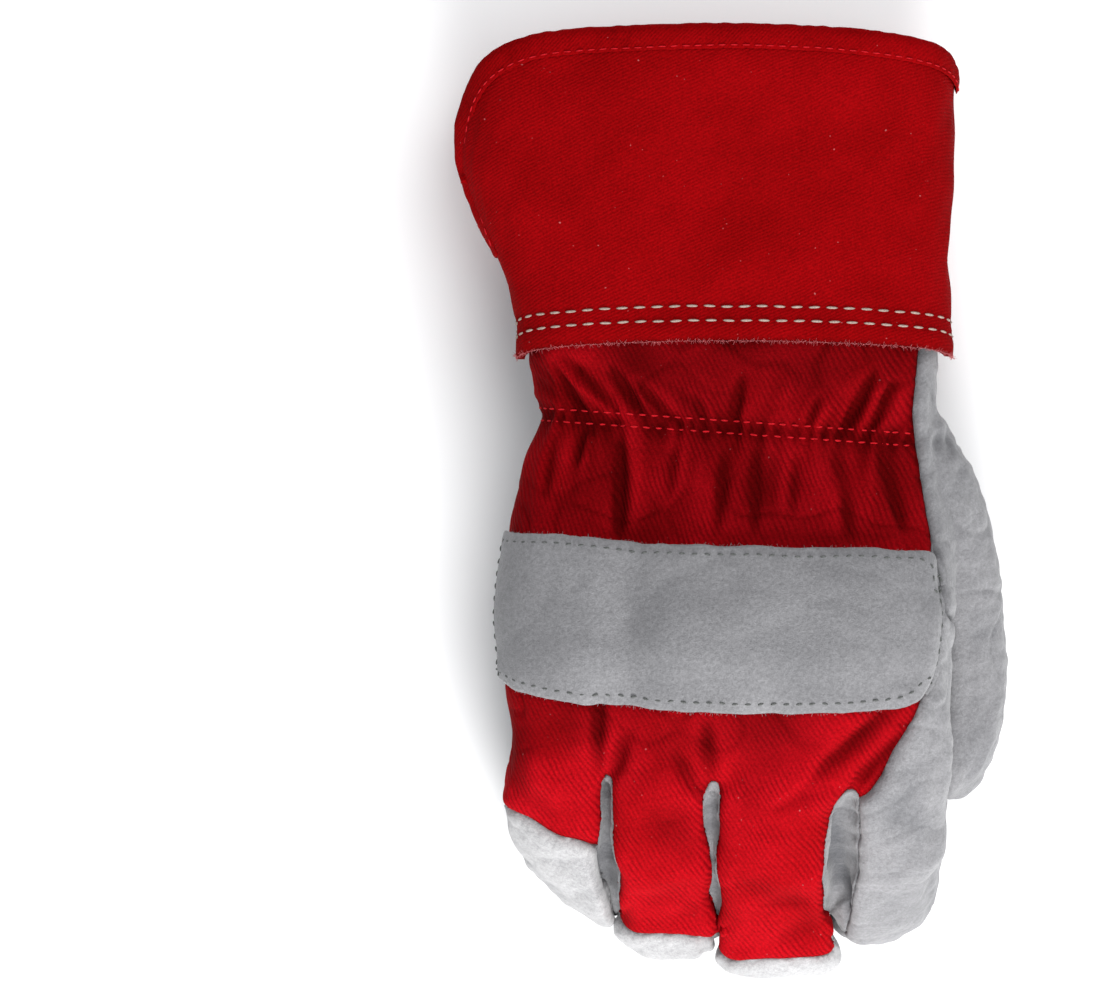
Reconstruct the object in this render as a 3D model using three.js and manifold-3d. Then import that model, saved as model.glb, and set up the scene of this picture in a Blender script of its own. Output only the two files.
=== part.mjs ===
// Rigger glove for a right hand, lying palm down with its fingers curled onto the surface.
// A split-leather palm, index finger and thumb, a canvas back with a leather knuckle strap and
// fingertips, and a stiff canvas cuff that is open on the little-finger side.
//
// The glove is first made flat, as it is cut: x across the hand, y from the fingertips (negative)
// past the cuff seam (y = 0) to the cuff's rim, z up from the surface. The flat solids are cut
// into panels, and then every vertex is carried round the joints of the hand by curl().

import * as THREE from "three";
import { mergeVertices } from "three/addons/utils/BufferGeometryUtils.js";
import Module from "manifold-3d";

const wasm = await Module();
wasm.setup();

// Driving sizes, in millimetres and degrees
const HAND_WIDTH = 105; // across the knuckles
const HAND_DEPTH = 40; // from the back to the palm at the knuckles
const HAND_LENGTH = 104; // from the cuff seam to the slits between the fingers
const INDEX_LENGTH = 54; // each finger from its slit to its tip, measured along its side seams
const MIDDLE_LENGTH = 56;
const RING_LENGTH = 55;
const LITTLE_LENGTH = 54.5;
const THUMB_LENGTH = 92; // from inside the wrist to the tip
const THUMB_WIDTH = 27;
const CUFF_LENGTH = 73; // from the cuff seam to the top of the rim
const CUFF_MOUTH_WIDTH = 124;
const CUFF_MOUTH_DEPTH = 58;
const CUFF_CORNER = 28; // radius of the cuff's rounded corners
const CUFF_RIM_DROP = 12; // how much lower the rim is at the sides than in the middle
const WRIST_INSERT = 16; // how far the hand reaches up inside the cuff
const STRAP_WIDTH = 36.5; // knuckle strap, along the hand
const PATCH_WIDTH = 68; // vein patch on the palm side of the cuff
const PATCH_LENGTH = 36;
const PATCH_CORNER = 18;
const LEATHER = 1.8;
const CANVAS = 1.5;
const CUFF_WALL = 2;
const CUFF_CLEARANCE = 0.6; // round the hand at the cuff seam
const BINDING_WIDTH = 5;
const BINDING_WALL = 1;
const BINDING_SLACK = 1.1; // between the tape and each side of the cuff
const WELT_DIAMETER = 2.4;
const WELT_CLEARANCE = 0.75;
const SEAM_GAP = 0.3;
const GATHER_HEIGHT = 1.6; // half the height of the folds that the wrist elastic draws up
const WRIST_TILT = 10;
const KNUCKLE_BEND = 32;
const MIDDLE_JOINT_BEND = 38;
const TIP_JOINT_BEND = 14;
const FLOOR_PRESS = 0.5; // how far the soft fingertips and thumb are pressed flat

// The cuff's lowest wall stands on the vein patch, and the side seams lie half-way up the cuff.
const CUFF_REST = LEATHER + SEAM_GAP + CUFF_WALL / 2;
const SIDE = CUFF_REST + CUFF_MOUTH_DEPTH / 2;
const SEAM_LEVEL = SIDE + 0.1 * HAND_DEPTH; // the side seams run a little above the middle

// Sections of the hand. at: share of the hand's length below the cuff seam. left and right: from
// the glove's axis, as shares of its width. back and palm: from the side seams, shares of its depth.
const HAND_SECTIONS = [
  { at: -0.25, left: 0.452, right: 0.468, back: 0.44, palm: 0.42 },
  { at: 0.0, left: 0.450, right: 0.470, back: 0.45, palm: 0.42 },
  { at: 0.09, left: 0.434, right: 0.468, back: 0.43, palm: 0.41 },
  { at: 0.19, left: 0.430, right: 0.472, back: 0.41, palm: 0.41 },
  { at: 0.28, left: 0.462, right: 0.480, back: 0.45, palm: 0.42 },
  { at: 0.40, left: 0.492, right: 0.495, back: 0.50, palm: 0.43 },
  { at: 0.56, left: 0.507, right: 0.508, back: 0.54, palm: 0.44 },
  { at: 0.76, left: 0.503, right: 0.500, back: 0.55, palm: 0.42 },
  { at: 0.90, left: 0.486, right: 0.494, back: 0.52, palm: 0.34 },
  { at: 1.00, left: 0.468, right: 0.478, back: 0.42, palm: 0.18 },
];
const HAND_SQUARENESS = 2.8;
const ELASTIC_AT = 0.2; // share of the hand's length
const GATHERS = 11;
const GATHER_SPREAD = 0.11; // share of the hand's length

// Folds and dents of the hand. side: 1 on the back, -1 on the palm. x and wide: place and reach
// across, shares of the hand's width. at and long: the same along its length. depth: share of its
// depth, and negative on a ridge.
const HAND_FOLDS = [
  { side: 1, x: -0.225, wide: 0.05, at: 0.66, long: 0.34, depth: 0.07 },
  { side: 1, x: 0.03, wide: 0.08, at: 0.62, long: 0.3, depth: -0.03 },
  { side: 1, x: -0.02, wide: 0.3, at: 0.88, long: 0.05, depth: 0.04 },
  { side: 1, x: 0.33, wide: 0.06, at: 0.94, long: 0.07, depth: 0.05 },
  { side: -1, x: -0.05, wide: 0.35, at: 0.1, long: 0.05, depth: 0.06 },
  { side: -1, x: -0.08, wide: 0.22, at: 0.56, long: 0.2, depth: 0.12 },
  { side: -1, x: 0.2, wide: 0.06, at: 0.5, long: 0.3, depth: 0.08 },
];

// Fingers. x and width: shares of the hand's width. depth and crown (the back's height above the
// side seams): shares of the hand's depth. curl: the most that its joints turn, as a share.
// round: length of its rounded tip, as a share of its width. lean: 1 rounds the left side of the
// tip only, and -1 the right. canvas: share of its back that is canvas, and not its leather
// fingertip, at its left and right edges.
const FINGERS = [
  {
    name: "little",
    length: LITTLE_LENGTH,
    x: -0.386,
    width: 0.217,
    depth: 0.62,
    crown: 0.42,
    curl: 1.05,
    round: 1.15,
    lean: 0.85,
    canvas: [0.13, 0.36],
  },
  {
    name: "ring",
    length: RING_LENGTH,
    x: -0.1565,
    width: 0.235,
    depth: 0.70,
    crown: 0.54,
    curl: 1.6,
    round: 0.45,
    lean: 0.1,
    canvas: [0.7, 0.74],
  },
  {
    name: "middle",
    length: MIDDLE_LENGTH,
    x: 0.1075,
    width: 0.286,
    depth: 0.72,
    crown: 0.56,
    curl: 1.6,
    round: 0.4,
    lean: 0,
    canvas: [0.78, 0.78],
  },
  {
    name: "index",
    length: INDEX_LENGTH,
    x: 0.378,
    width: 0.249,
    depth: 0.68,
    crown: 0.47,
    curl: 1.6,
    round: 0.65,
    lean: -0.7,
    canvas: [1, 1],
  },
];
const FINGER_SQUARENESS = 2.9;
const FINGER_ROOT_STATION = 8; // the station inside the hand where the fingers' tubes start
const FINGER_FULL = 0.34; // share from its root to its tip where it reaches its full section
const TUBE_SIDES = 12;

// How a finger tapers. at: share from its root to its tip. width and depth: scale there.
const FINGER_TAPER = [
  { at: 0.00, width: 0.84, depth: 0.58 },
  { at: 0.20, width: 0.96, depth: 0.84 },
  { at: FINGER_FULL, width: 1.00, depth: 1.00 },
  { at: 0.60, width: 1.00, depth: 0.96 },
  { at: 0.80, width: 0.99, depth: 0.92 },
  { at: 1.00, width: 0.97, depth: 0.86 },
];

// Rings that round off a fingertip or the thumb: distance from the tip, as a share of its width.
const TIP_RINGS = [0.36, 0.17, 0.06, 0.005];

// Palm-side creases of a finger. at: share from root to tip. depth: share of the finger's half depth.
const FINGER_CREASES = [
  { at: 0.42, depth: 0.16 },
  { at: 0.66, depth: 0.20 },
];
const CREASE_SPREAD = 0.05;

// Joints of a finger. at: share of its length beyond the slit. spread: the same, each way.
const FINGER_JOINTS = [
  { at: 0.28, turn: MIDDLE_JOINT_BEND, spread: 0.28 },
  { at: 0.64, turn: TIP_JOINT_BEND, spread: 0.28 },
];
const WRIST = { at: 0.3, turn: -WRIST_TILT, spread: 0.12 };
const KNUCKLES = { at: 0.79, turn: KNUCKLE_BEND, spread: 0.15 };

// Slits between neighbouring fingers. x: share of the hand's width. reveal: how much of the
// fourchette shows each side. deep: how far the fourchette runs, as a share of the middle finger.
const SLITS = [
  { name: "ring_little", x: -0.276, reveal: 0.018, deep: 0.5 },
  { name: "middle_ring", x: -0.037, reveal: 0.015, deep: 0.66 },
  { name: "index_middle", x: 0.252, reveal: 0.028, deep: 0.64 },
];

// Thumb axis. at: share of the thumb's length towards the tip. x: share of the hand's width.
// z: height against the side seams, share of the hand's depth. size: share of the thumb's width.
const THUMB_AXIS = [
  { at: 0.00, x: 0.290, z: -0.06, size: 1.05 },
  { at: 0.14, x: 0.362, z: -0.14, size: 1.18 },
  { at: 0.28, x: 0.420, z: -0.24, size: 1.24 },
  { at: 0.50, x: 0.475, z: -0.44, size: 1.14 },
  { at: 0.68, x: 0.497, z: -0.60, size: 1.02 },
  { at: 0.86, x: 0.492, z: -0.72, size: 0.94 },
  { at: 1.00, x: 0.478, z: -0.77, size: 0.88 },
];
const THUMB_ROUND = 0.62; // length of its rounded tip, as a share of its width
const THUMB_CROTCH = 0.62; // where the thumb parts from the palm, as a share of the hand's length
const DROOP_FULL = 0.7; // the share of the thumb's length where it hangs by its full droop

// Edge of the canvas back along the thumb side, from the cuff to the index finger's slit.
// x: share of the hand's width. at: share of the hand's length.
const BACK_EDGE = [
  { at: -0.4, x: 0.436 },
  { at: 0.00, x: 0.436 },
  { at: 0.16, x: 0.410 },
  { at: 0.28, x: 0.426 },
  { at: 0.44, x: 0.454 },
  { at: 0.63, x: 0.463 },
  { at: 0.76, x: 0.448 },
  { at: 0.87, x: 0.402 },
  { at: 0.96, x: 0.340 },
  { at: 1.01, x: 0.270 },
];

// Seam along the palm side of the thumb, in the same columns.
const THUMB_SEAM = [
  { at: -0.4, x: 0.290 },
  { at: 0.00, x: 0.290 },
  { at: 0.16, x: 0.366 },
  { at: 0.34, x: 0.436 },
  { at: 0.50, x: 0.470 },
  { at: 0.68, x: 0.492 },
  { at: 1.40, x: 0.496 },
];

// Welted seam across the roots of the two middle fingers, in the same columns.
const WELT_LINE = [
  { at: 0.99, x: 0.236 },
  { at: 0.90, x: 0.226 },
  { at: 0.86, x: 0.170 },
  { at: 0.855, x: 0.030 },
  { at: 0.85, x: -0.120 },
  { at: 0.835, x: -0.215 },
  { at: 0.87, x: -0.264 },
  { at: 0.98, x: -0.270 },
];

const DEGREE = Math.PI / 180;
const lerp = (a, b, t) => a + (b - a) * t;
const clamp01 = (t) => Math.min(1, Math.max(0, t));
const smooth = (t) => {
  const c = clamp01(t);
  return c * c * (3 - 2 * c);
};

// One column of a table at a given share, on a smooth curve through its rows.
function column(table, key, at) {
  const last = table.length - 1;
  let i = 0;
  while (i < last - 1 && at > table[i + 1].at) i += 1;
  const slope = (k) => {
    const before = table[Math.max(0, k - 1)];
    const after = table[Math.min(last, k + 1)];
    return (after[key] - before[key]) / (after.at - before.at);
  };
  const span = table[i + 1].at - table[i].at;
  const t = clamp01((at - table[i].at) / span);
  const t2 = t * t;
  const t3 = t2 * t;
  return (
    (2 * t3 - 3 * t2 + 1) * table[i][key] +
    (t3 - 2 * t2 + t) * span * slope(i) +
    (3 * t2 - 2 * t3) * table[i + 1][key] +
    (t3 - t2) * span * slope(i + 1)
  );
}

// A point on a rounded box section, round the +y axis: angle 0 is +x and 90 degrees is up.
function sectionPoint(angle, squareness, halves) {
  const c = Math.cos(angle);
  const s = Math.sin(angle);
  const reach = (Math.abs(c) ** squareness + Math.abs(s) ** squareness) ** (-1 / squareness);
  return [
    c * reach * (c > 0 ? halves.right : halves.left),
    s * reach * (s > 0 ? halves.up : halves.down),
  ];
}

function gatherAt(y) {
  const away = (y + ELASTIC_AT * HAND_LENGTH) / (GATHER_SPREAD * HAND_LENGTH);
  return GATHER_HEIGHT * Math.exp(-away * away);
}

// The hand's skin at an angle round its section. grow moves the skin outwards.
function handPoint(angle, y, grow) {
  const at = -y / HAND_LENGTH;
  const [x, z] = sectionPoint(angle, HAND_SQUARENESS, {
    left: column(HAND_SECTIONS, "left", at) * HAND_WIDTH + grow,
    right: column(HAND_SECTIONS, "right", at) * HAND_WIDTH + grow,
    up: column(HAND_SECTIONS, "back", at) * HAND_DEPTH + grow,
    down: column(HAND_SECTIONS, "palm", at) * HAND_DEPTH + grow,
  });
  const side = Math.sign(z);
  const gather = gatherAt(y) * Math.sqrt(Math.max(0, Math.sin(angle))) * Math.cos(2 * GATHERS * angle);
  const dent = HAND_FOLDS.reduce((sum, fold) => {
    if (fold.side !== side) return sum;
    const across = (x / HAND_WIDTH - fold.x) / fold.wide;
    const along = (at - fold.at) / fold.long;
    return sum + fold.depth * HAND_DEPTH * Math.exp(-across * across - along * along);
  }, 0);
  return new THREE.Vector3(x, y, SIDE + z + gather - side * dent);
}

// The triangles between rings of equal length.
function ringSides(rings) {
  const count = rings[0].length;
  const index = [];
  for (let r = 0; r < rings.length - 1; r += 1) {
    for (let i = 0; i < count; i += 1) {
      const a = r * count + i;
      const b = r * count + ((i + 1) % count);
      index.push(a, b, a + count, b, b + count, a + count);
    }
  }
  return index;
}

// A closed geometry through rings, with a flat fan at each end.
function loft(rings) {
  const count = rings[0].length;
  const points = rings.flat();
  const index = ringSides(rings);
  for (const [ring, turned] of [
    [0, false],
    [rings.length - 1, true],
  ]) {
    const centre = new THREE.Vector3();
    rings[ring].forEach((p) => centre.addScaledVector(p, 1 / count));
    points.push(centre);
    for (let i = 0; i < count; i += 1) {
      const a = ring * count + i;
      const b = ring * count + ((i + 1) % count);
      index.push(points.length - 1, ...(turned ? [a, b] : [b, a]));
    }
  }
  return meshed(points, index);
}

// A closed wall between two grids of points, where at(i, j, side) gives side 0 or 1.
function wall(columns, rows, at) {
  const points = [];
  for (const side of [0, 1]) {
    for (let j = 0; j <= rows; j += 1) {
      for (let i = 0; i <= columns; i += 1) points.push(at(i, j, side));
    }
  }
  const layer = (columns + 1) * (rows + 1);
  const id = (i, j, side) => side * layer + j * (columns + 1) + i;
  const index = [];
  const quad = (a, b, c, d) => index.push(a, b, c, a, c, d);
  for (let j = 0; j < rows; j += 1) {
    for (let i = 0; i < columns; i += 1) {
      quad(id(i, j, 1), id(i + 1, j, 1), id(i + 1, j + 1, 1), id(i, j + 1, 1));
      quad(id(i, j, 0), id(i, j + 1, 0), id(i + 1, j + 1, 0), id(i + 1, j, 0));
    }
  }
  for (let i = 0; i < columns; i += 1) {
    quad(id(i, 0, 0), id(i + 1, 0, 0), id(i + 1, 0, 1), id(i, 0, 1));
    quad(id(i, rows, 0), id(i, rows, 1), id(i + 1, rows, 1), id(i + 1, rows, 0));
  }
  for (let j = 0; j < rows; j += 1) {
    quad(id(0, j, 0), id(0, j, 1), id(0, j + 1, 1), id(0, j + 1, 0));
    quad(id(columns, j, 0), id(columns, j + 1, 0), id(columns, j + 1, 1), id(columns, j, 1));
  }
  return meshed(points, index);
}

function meshed(points, index) {
  const geometry = new THREE.BufferGeometry().setFromPoints(points);
  geometry.setIndex(index);
  return geometry;
}

// A geometry as a manifold-3d solid, turned so that its faces point outwards.
function solidOf(geometry) {
  const bare = new THREE.BufferGeometry();
  bare.setAttribute("position", geometry.getAttribute("position"));
  if (geometry.index) bare.setIndex(geometry.index);
  const merged = mergeVertices(bare, 1e-4);
  const triVerts = new Uint32Array(merged.index.array);
  const vertProperties = new Float32Array(merged.attributes.position.array);
  const made = new wasm.Manifold(new wasm.Mesh({ numProp: 3, vertProperties, triVerts }));
  if (made.volume() > 0) return made;
  for (let i = 0; i < triVerts.length; i += 3) {
    [triVerts[i + 1], triVerts[i + 2]] = [triVerts[i + 2], triVerts[i + 1]];
  }
  return new wasm.Manifold(new wasm.Mesh({ numProp: 3, vertProperties, triVerts }));
}

const united = (solids) => solids.reduce((all, one) => all.add(one));
const largest = (solid) =>
  solid.decompose().reduce((best, one) => (one.volume() > best.volume() ? one : best));

// The hand's own solid, without fingers. The inner one runs out through the wrist.
const HAND_STATIONS = 11;
const STATION = HAND_LENGTH / HAND_STATIONS; // the glove curls in straight stretches of this length
const BACK_STEPS = 2 * GATHERS;
const PALM_STEPS = 11;

function handSolid(grow) {
  const angles = [];
  for (let i = 0; i < BACK_STEPS; i += 1) angles.push((Math.PI * i) / BACK_STEPS);
  for (let i = 0; i < PALM_STEPS; i += 1) angles.push(Math.PI * (1 + i / PALM_STEPS));
  const ys = [WRIST_INSERT];
  for (let k = 0; k < HAND_STATIONS; k += 1) ys.push(-k * STATION);
  ys.push(-HAND_LENGTH - grow);
  if (grow < 0) ys[0] += 1; // the hollow breaks out at the wrist
  return solidOf(loft(ys.map((y) => angles.map((angle) => handPoint(angle, y, grow)))));
}

function fingerSpan(finger) {
  const root = -FINGER_ROOT_STATION * STATION;
  return { root, length: root + HAND_LENGTH + finger.length };
}

// How far into its rounded end a tube is at a share of its length, and how small it is there.
function tipInto(share, length, round) {
  const into = clamp01(1 - ((1 - share) * length) / round);
  return { into, cap: (1 - into ** FINGER_SQUARENESS) ** (1 / FINGER_SQUARENESS) };
}

// Shares of a tube's length for its rings: one at each station, and a few round its tip.
function tubeShares(length, width) {
  const ends = TIP_RINGS.map((share) => 1 - (share * width) / length);
  const shares = [];
  for (let along = 0; along < ends[0] * length - STATION / 3; along += STATION) {
    shares.push(along / length);
  }
  return [...shares, ...ends];
}

function tubeRing(x, y, z, halves) {
  const ring = [];
  for (let i = 0; i < TUBE_SIDES; i += 1) {
    const [dx, dz] = sectionPoint((2 * Math.PI * i) / TUBE_SIDES, FINGER_SQUARENESS, halves);
    ring.push(new THREE.Vector3(x + dx, y, z + dz));
  }
  return ring;
}

// One ring of a finger. share runs from its root to its tip, which is rounded off.
function fingerRing(finger, share, grow) {
  const { root, length } = fingerSpan(finger);
  const width = finger.width * HAND_WIDTH;
  const depth = finger.depth * HAND_DEPTH;
  const across = (column(FINGER_TAPER, "width", share) * width) / 2;
  const { into, cap } = tipInto(share, length, finger.round * width);
  const crease = FINGER_CREASES.reduce(
    (sum, c) => sum + c.depth * Math.exp(-(((share - c.at) / CREASE_SPREAD) ** 2)),
    0,
  );
  const top = (column(FINGER_TAPER, "depth", Math.min(share, FINGER_FULL)) * depth) / 2;
  const bottom = column(FINGER_TAPER, "depth", share) * depth - top;
  const y = root - share * length - grow * into;
  const x = finger.x * HAND_WIDTH + finger.lean * across * (1 - cap);
  const centre = SIDE + finger.crown * HAND_DEPTH - depth / 2;
  return tubeRing(x, y, centre, {
    left: (across + grow) * cap,
    right: (across + grow) * cap,
    up: (top + grow) * cap,
    down: (bottom * (1 - crease) + grow) * cap,
  });
}

const fingerShares = (finger) => tubeShares(fingerSpan(finger).length, finger.width * HAND_WIDTH);

const fingerSolid = (finger, grow) =>
  solidOf(loft(fingerShares(finger).map((share) => fingerRing(finger, share, grow))));

// The thumb's axis before curling. droop lowers it, most at the tip, until it meets the surface.
function thumbAxis(share, droop) {
  return new THREE.Vector3(
    column(THUMB_AXIS, "x", share) * HAND_WIDTH,
    -STATION - share * THUMB_LENGTH,
    SIDE + column(THUMB_AXIS, "z", share) * HAND_DEPTH - droop * smooth(share / DROOP_FULL),
  );
}

function thumbRing(share, grow, droop) {
  const width = column(THUMB_AXIS, "size", share) * THUMB_WIDTH;
  const { into, cap } = tipInto(share, THUMB_LENGTH, THUMB_ROUND * THUMB_WIDTH);
  const half = (width / 2 + grow) * cap;
  const { x, y, z } = thumbAxis(share, droop);
  return tubeRing(x, y - grow * into, z, { left: half, right: half, up: half, down: half });
}

// A spine is the line that the layer of the glove which keeps its length follows after curling,
// with the point and the slope reached at each station. Joints have their place in millimetres.
const STEPS = 12; // steps of the sum within a station
const NEUTRAL = SIDE + 0.25 * HAND_DEPTH; // nearer the back, so that curling shortens the palm

const handJoint = (joint) => ({
  y: -joint.at * HAND_LENGTH,
  spread: joint.spread * HAND_LENGTH,
  turn: joint.turn,
});

const fingerJoint = (joint, finger, curlShare) => ({
  y: -HAND_LENGTH - joint.at * finger.length,
  spread: joint.spread * finger.length,
  turn: joint.turn * curlShare,
});

function spineOf(joints) {
  const rows = [{ y: 0, z: NEUTRAL, slope: 0 }];
  const reach = 2 * HAND_LENGTH + MIDDLE_LENGTH;
  let { y, z } = rows[0];
  for (let k = 1; k * STATION < reach; k += 1) {
    let slope = 0;
    for (let step = 1; step <= STEPS; step += 1) {
      const along = (k - 1 + step / STEPS) * STATION;
      slope = joints.reduce(
        (sum, j) => sum + j.turn * DEGREE * smooth((j.y + j.spread + along) / (2 * j.spread)),
        0,
      );
      y -= (STATION / STEPS) * Math.cos(slope);
      z -= (STATION / STEPS) * Math.sin(slope);
    }
    rows.push({ y, z, slope });
  }
  return rows;
}

// A point goes to the same place between two stations as it had before curling.
function carry(point, spine) {
  if (point.y >= 0) return point.clone();
  const along = -point.y / STATION;
  const k = Math.floor(along);
  const above = point.z - NEUTRAL;
  const at = ({ y, z, slope }) =>
    new THREE.Vector3(point.x, y - above * Math.sin(slope), z + above * Math.cos(slope));
  return at(spine[k]).lerp(at(spine[k + 1]), along - k);
}

const lowest = (rings, spine) =>
  Math.min(...rings.flat().map((point) => carry(point, spine).z));

// The value at which a measure that falls as the value grows comes down to the target.
const HALVINGS = 24;
function solve(low, high, target, measure) {
  for (let i = 0; i < HALVINGS; i += 1) {
    const middle = (low + high) / 2;
    if (measure(middle) > target) low = middle;
    else high = middle;
  }
  return (low + high) / 2;
}

// Each finger curls until its tip presses on the surface, or to the most that its joints turn.
function fingerSpine(finger) {
  const rings = fingerShares(finger).map((share) => fingerRing(finger, share, 0));
  const made = (share) =>
    spineOf([
      handJoint(WRIST),
      handJoint(KNUCKLES),
      ...FINGER_JOINTS.map((joint) => fingerJoint(joint, finger, share)),
    ]);
  return made(solve(0, finger.curl, -FLOOR_PRESS, (share) => lowest(rings, made(share))));
}

const thumbSpine = spineOf([handJoint(WRIST)]);
const thumbRings = (grow, droop) =>
  tubeShares(THUMB_LENGTH, THUMB_WIDTH).map((share) => thumbRing(share, grow, droop));
const THUMB_DROOP = solve(-HAND_DEPTH, HAND_DEPTH, -FLOOR_PRESS, (droop) =>
  lowest(thumbRings(0, droop), thumbSpine),
);
const thumbSolid = (grow) => solidOf(loft(thumbRings(grow, THUMB_DROOP)));
const fingerSpines = FINGERS.map(fingerSpine);

function onThumb(point) {
  if (point.y > -THUMB_CROTCH * HAND_LENGTH) return false;
  const share = (-point.y - STATION) / THUMB_LENGTH;
  const away = thumbAxis(Math.min(share, 1), THUMB_DROOP).sub(point);
  return Math.hypot(away.x, away.z) < 0.5 * THUMB_WIDTH + LEATHER;
}

// Carries a flat point to its place on the curled glove.
function curl(point) {
  let spine = thumbSpine;
  if (!onThumb(point)) {
    const slit = SLITS.findIndex((s) => point.x < s.x * HAND_WIDTH);
    spine = fingerSpines[slit < 0 ? FINGERS.length - 1 : slit];
  }
  const placed = carry(point, spine);
  placed.z = Math.max(0, placed.z);
  return placed;
}

const MITER_LEAST = 0.3; // keeps the sharpest corners of a grown outline short

// Plan regions, extruded upwards. Outlines are lists of [x, y], and grow widens them.
function region(outline, low, high, grow = 0) {
  const corners = outline.map(([x, y]) => new THREE.Vector2(x, y));
  if (THREE.ShapeUtils.isClockWise(corners)) corners.reverse();
  const count = corners.length;
  const grown = corners.map((corner, i) => {
    const before = corner.clone().sub(corners[(i + count - 1) % count]).normalize();
    const after = corners[(i + 1) % count].clone().sub(corner).normalize();
    const outward = new THREE.Vector2(before.y + after.y, -before.x - after.x);
    const miter = outward.lengthSq() / 2;
    return corner.clone().addScaledVector(outward, grow / Math.max(miter, MITER_LEAST));
  });
  const depth = high - low + 2 * grow;
  const made = new THREE.ExtrudeGeometry(new THREE.Shape(grown), { depth, bevelEnabled: false });
  return solidOf(made.translate(0, 0, low - grow));
}

const OUTSIDE = HAND_WIDTH; // x beyond anything on the glove
const TOP = SIDE + 2 * HAND_DEPTH;
const BELOW = -2 * HAND_DEPTH;
const edgePoints = (table) => table.map((row) => [row.x * HAND_WIDTH, -row.at * HAND_LENGTH]);
const slitX = (i) => SLITS[i].x * HAND_WIDTH;
const fingerEdges = [-OUTSIDE, slitX(0), slitX(1), slitX(2)];
const capY = (finger, side) => -HAND_LENGTH - finger.length * finger.canvas[side];

// The canvas back ends at the leather fingertips of the little, ring and middle fingers.
function backOutline() {
  const points = [...edgePoints(BACK_EDGE)];
  for (const i of [2, 1, 0]) {
    points.push([fingerEdges[i + 1], capY(FINGERS[i], 1)], [fingerEdges[i], capY(FINGERS[i], 0)]);
  }
  points.push([-OUTSIDE, points[0][1]]);
  return points;
}

function capOutline(i) {
  const beyond = -HAND_LENGTH - FINGERS[i].length - HAND_LENGTH;
  return [
    [fingerEdges[i], capY(FINGERS[i], 0) - SEAM_GAP],
    [fingerEdges[i + 1], capY(FINGERS[i], 1) - SEAM_GAP],
    [fingerEdges[i + 1], beyond],
    [fingerEdges[i], beyond],
  ];
}

const FOURCHETTE_START = 0.98; // share of the hand's length
const FOURCHETTE_DROP = 0.28; // how far below the side seams it reaches, share of the hand's depth

function fourchetteRegion(slit, grow) {
  const half = slit.reveal * HAND_WIDTH;
  const x = slit.x * HAND_WIDTH;
  const start = -FOURCHETTE_START * HAND_LENGTH;
  const end = -HAND_LENGTH - slit.deep * MIDDLE_LENGTH;
  const outline = [
    [x - half, start],
    [x + half, start],
    [x + half, end],
    [x - half, end],
  ];
  return region(outline, SEAM_LEVEL - FOURCHETTE_DROP * HAND_DEPTH, TOP, grow);
}

// The front of a middle finger starts at the welted seam and ends at the side seams.
function frontOutline(i) {
  const [from, to] = [slitX(i - 1), slitX(i)];
  const line = edgePoints(WELT_LINE).filter(([x]) => x > from && x < to);
  const beyond = -HAND_LENGTH - 2 * FINGERS[i].length;
  return [[to - SEAM_GAP, beyond], [to - SEAM_GAP, line[0][1]], ...line, [from, beyond]];
}

const outer = (grow) =>
  united([handSolid(grow), ...FINGERS.map((f) => fingerSolid(f, grow)), thumbSolid(grow)]);
const skin = outer(0);
const leather = skin.subtract(outer(-LEATHER));
const canvas = skin.subtract(outer(-CANVAS));

const backRegion = (grow) => region(backOutline(), SEAM_LEVEL, TOP, grow);
const capRegion = (i, grow) => region(capOutline(i), SEAM_LEVEL, TOP, grow);
const frontRegion = (i, grow) => region(frontOutline(i), BELOW, SEAM_LEVEL - SEAM_GAP, grow);

function thumbBackRegion(grow) {
  const line = edgePoints(THUMB_SEAM);
  const beside = region(
    [...line, [OUTSIDE, line[line.length - 1][1]], [OUTSIDE, line[0][1]]],
    BELOW,
    TOP,
    grow,
  );
  const crotch = -THUMB_CROTCH * HAND_LENGTH;
  const base = [
    [0, HAND_LENGTH],
    [2 * OUTSIDE, HAND_LENGTH],
    [2 * OUTSIDE, crotch],
    [0, crotch],
  ];
  const above = region(base, 2 * BELOW, 2 * TOP, grow);
  return beside.intersect(above.add(thumbSolid(LEATHER / 2 + grow)));
}

const fourchettes = united(SLITS.map((slit) => fourchetteRegion(slit, SEAM_GAP)));
const panels = {};
panels.back_panel = canvas.intersect(backRegion(0)).subtract(fourchettes);
for (const i of [0, 1, 2]) {
  const cap = leather.intersect(capRegion(i, 0)).subtract(fourchettes);
  panels[`fingertip_${FINGERS[i].name}`] = cap;
}
for (const slit of SLITS) {
  panels[`fourchette_${slit.name}`] = leather.intersect(fourchetteRegion(slit, 0));
}
for (const i of [1, 2]) {
  const front = leather.intersect(frontRegion(i, 0)).subtract(fourchettes);
  panels[`front_${FINGERS[i].name}`] = front;
}
const upperPanels = united([backRegion(SEAM_GAP), ...[0, 1, 2].map((i) => capRegion(i, SEAM_GAP))]);
panels.thumb_back = leather
  .intersect(thumbBackRegion(0))
  .subtract(upperPanels)
  .subtract(fourchettes);
panels.palm_panel = leather
  .subtract(upperPanels)
  .subtract(fourchettes)
  .subtract(frontRegion(1, SEAM_GAP))
  .subtract(frontRegion(2, SEAM_GAP))
  .subtract(thumbBackRegion(SEAM_GAP));

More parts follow.
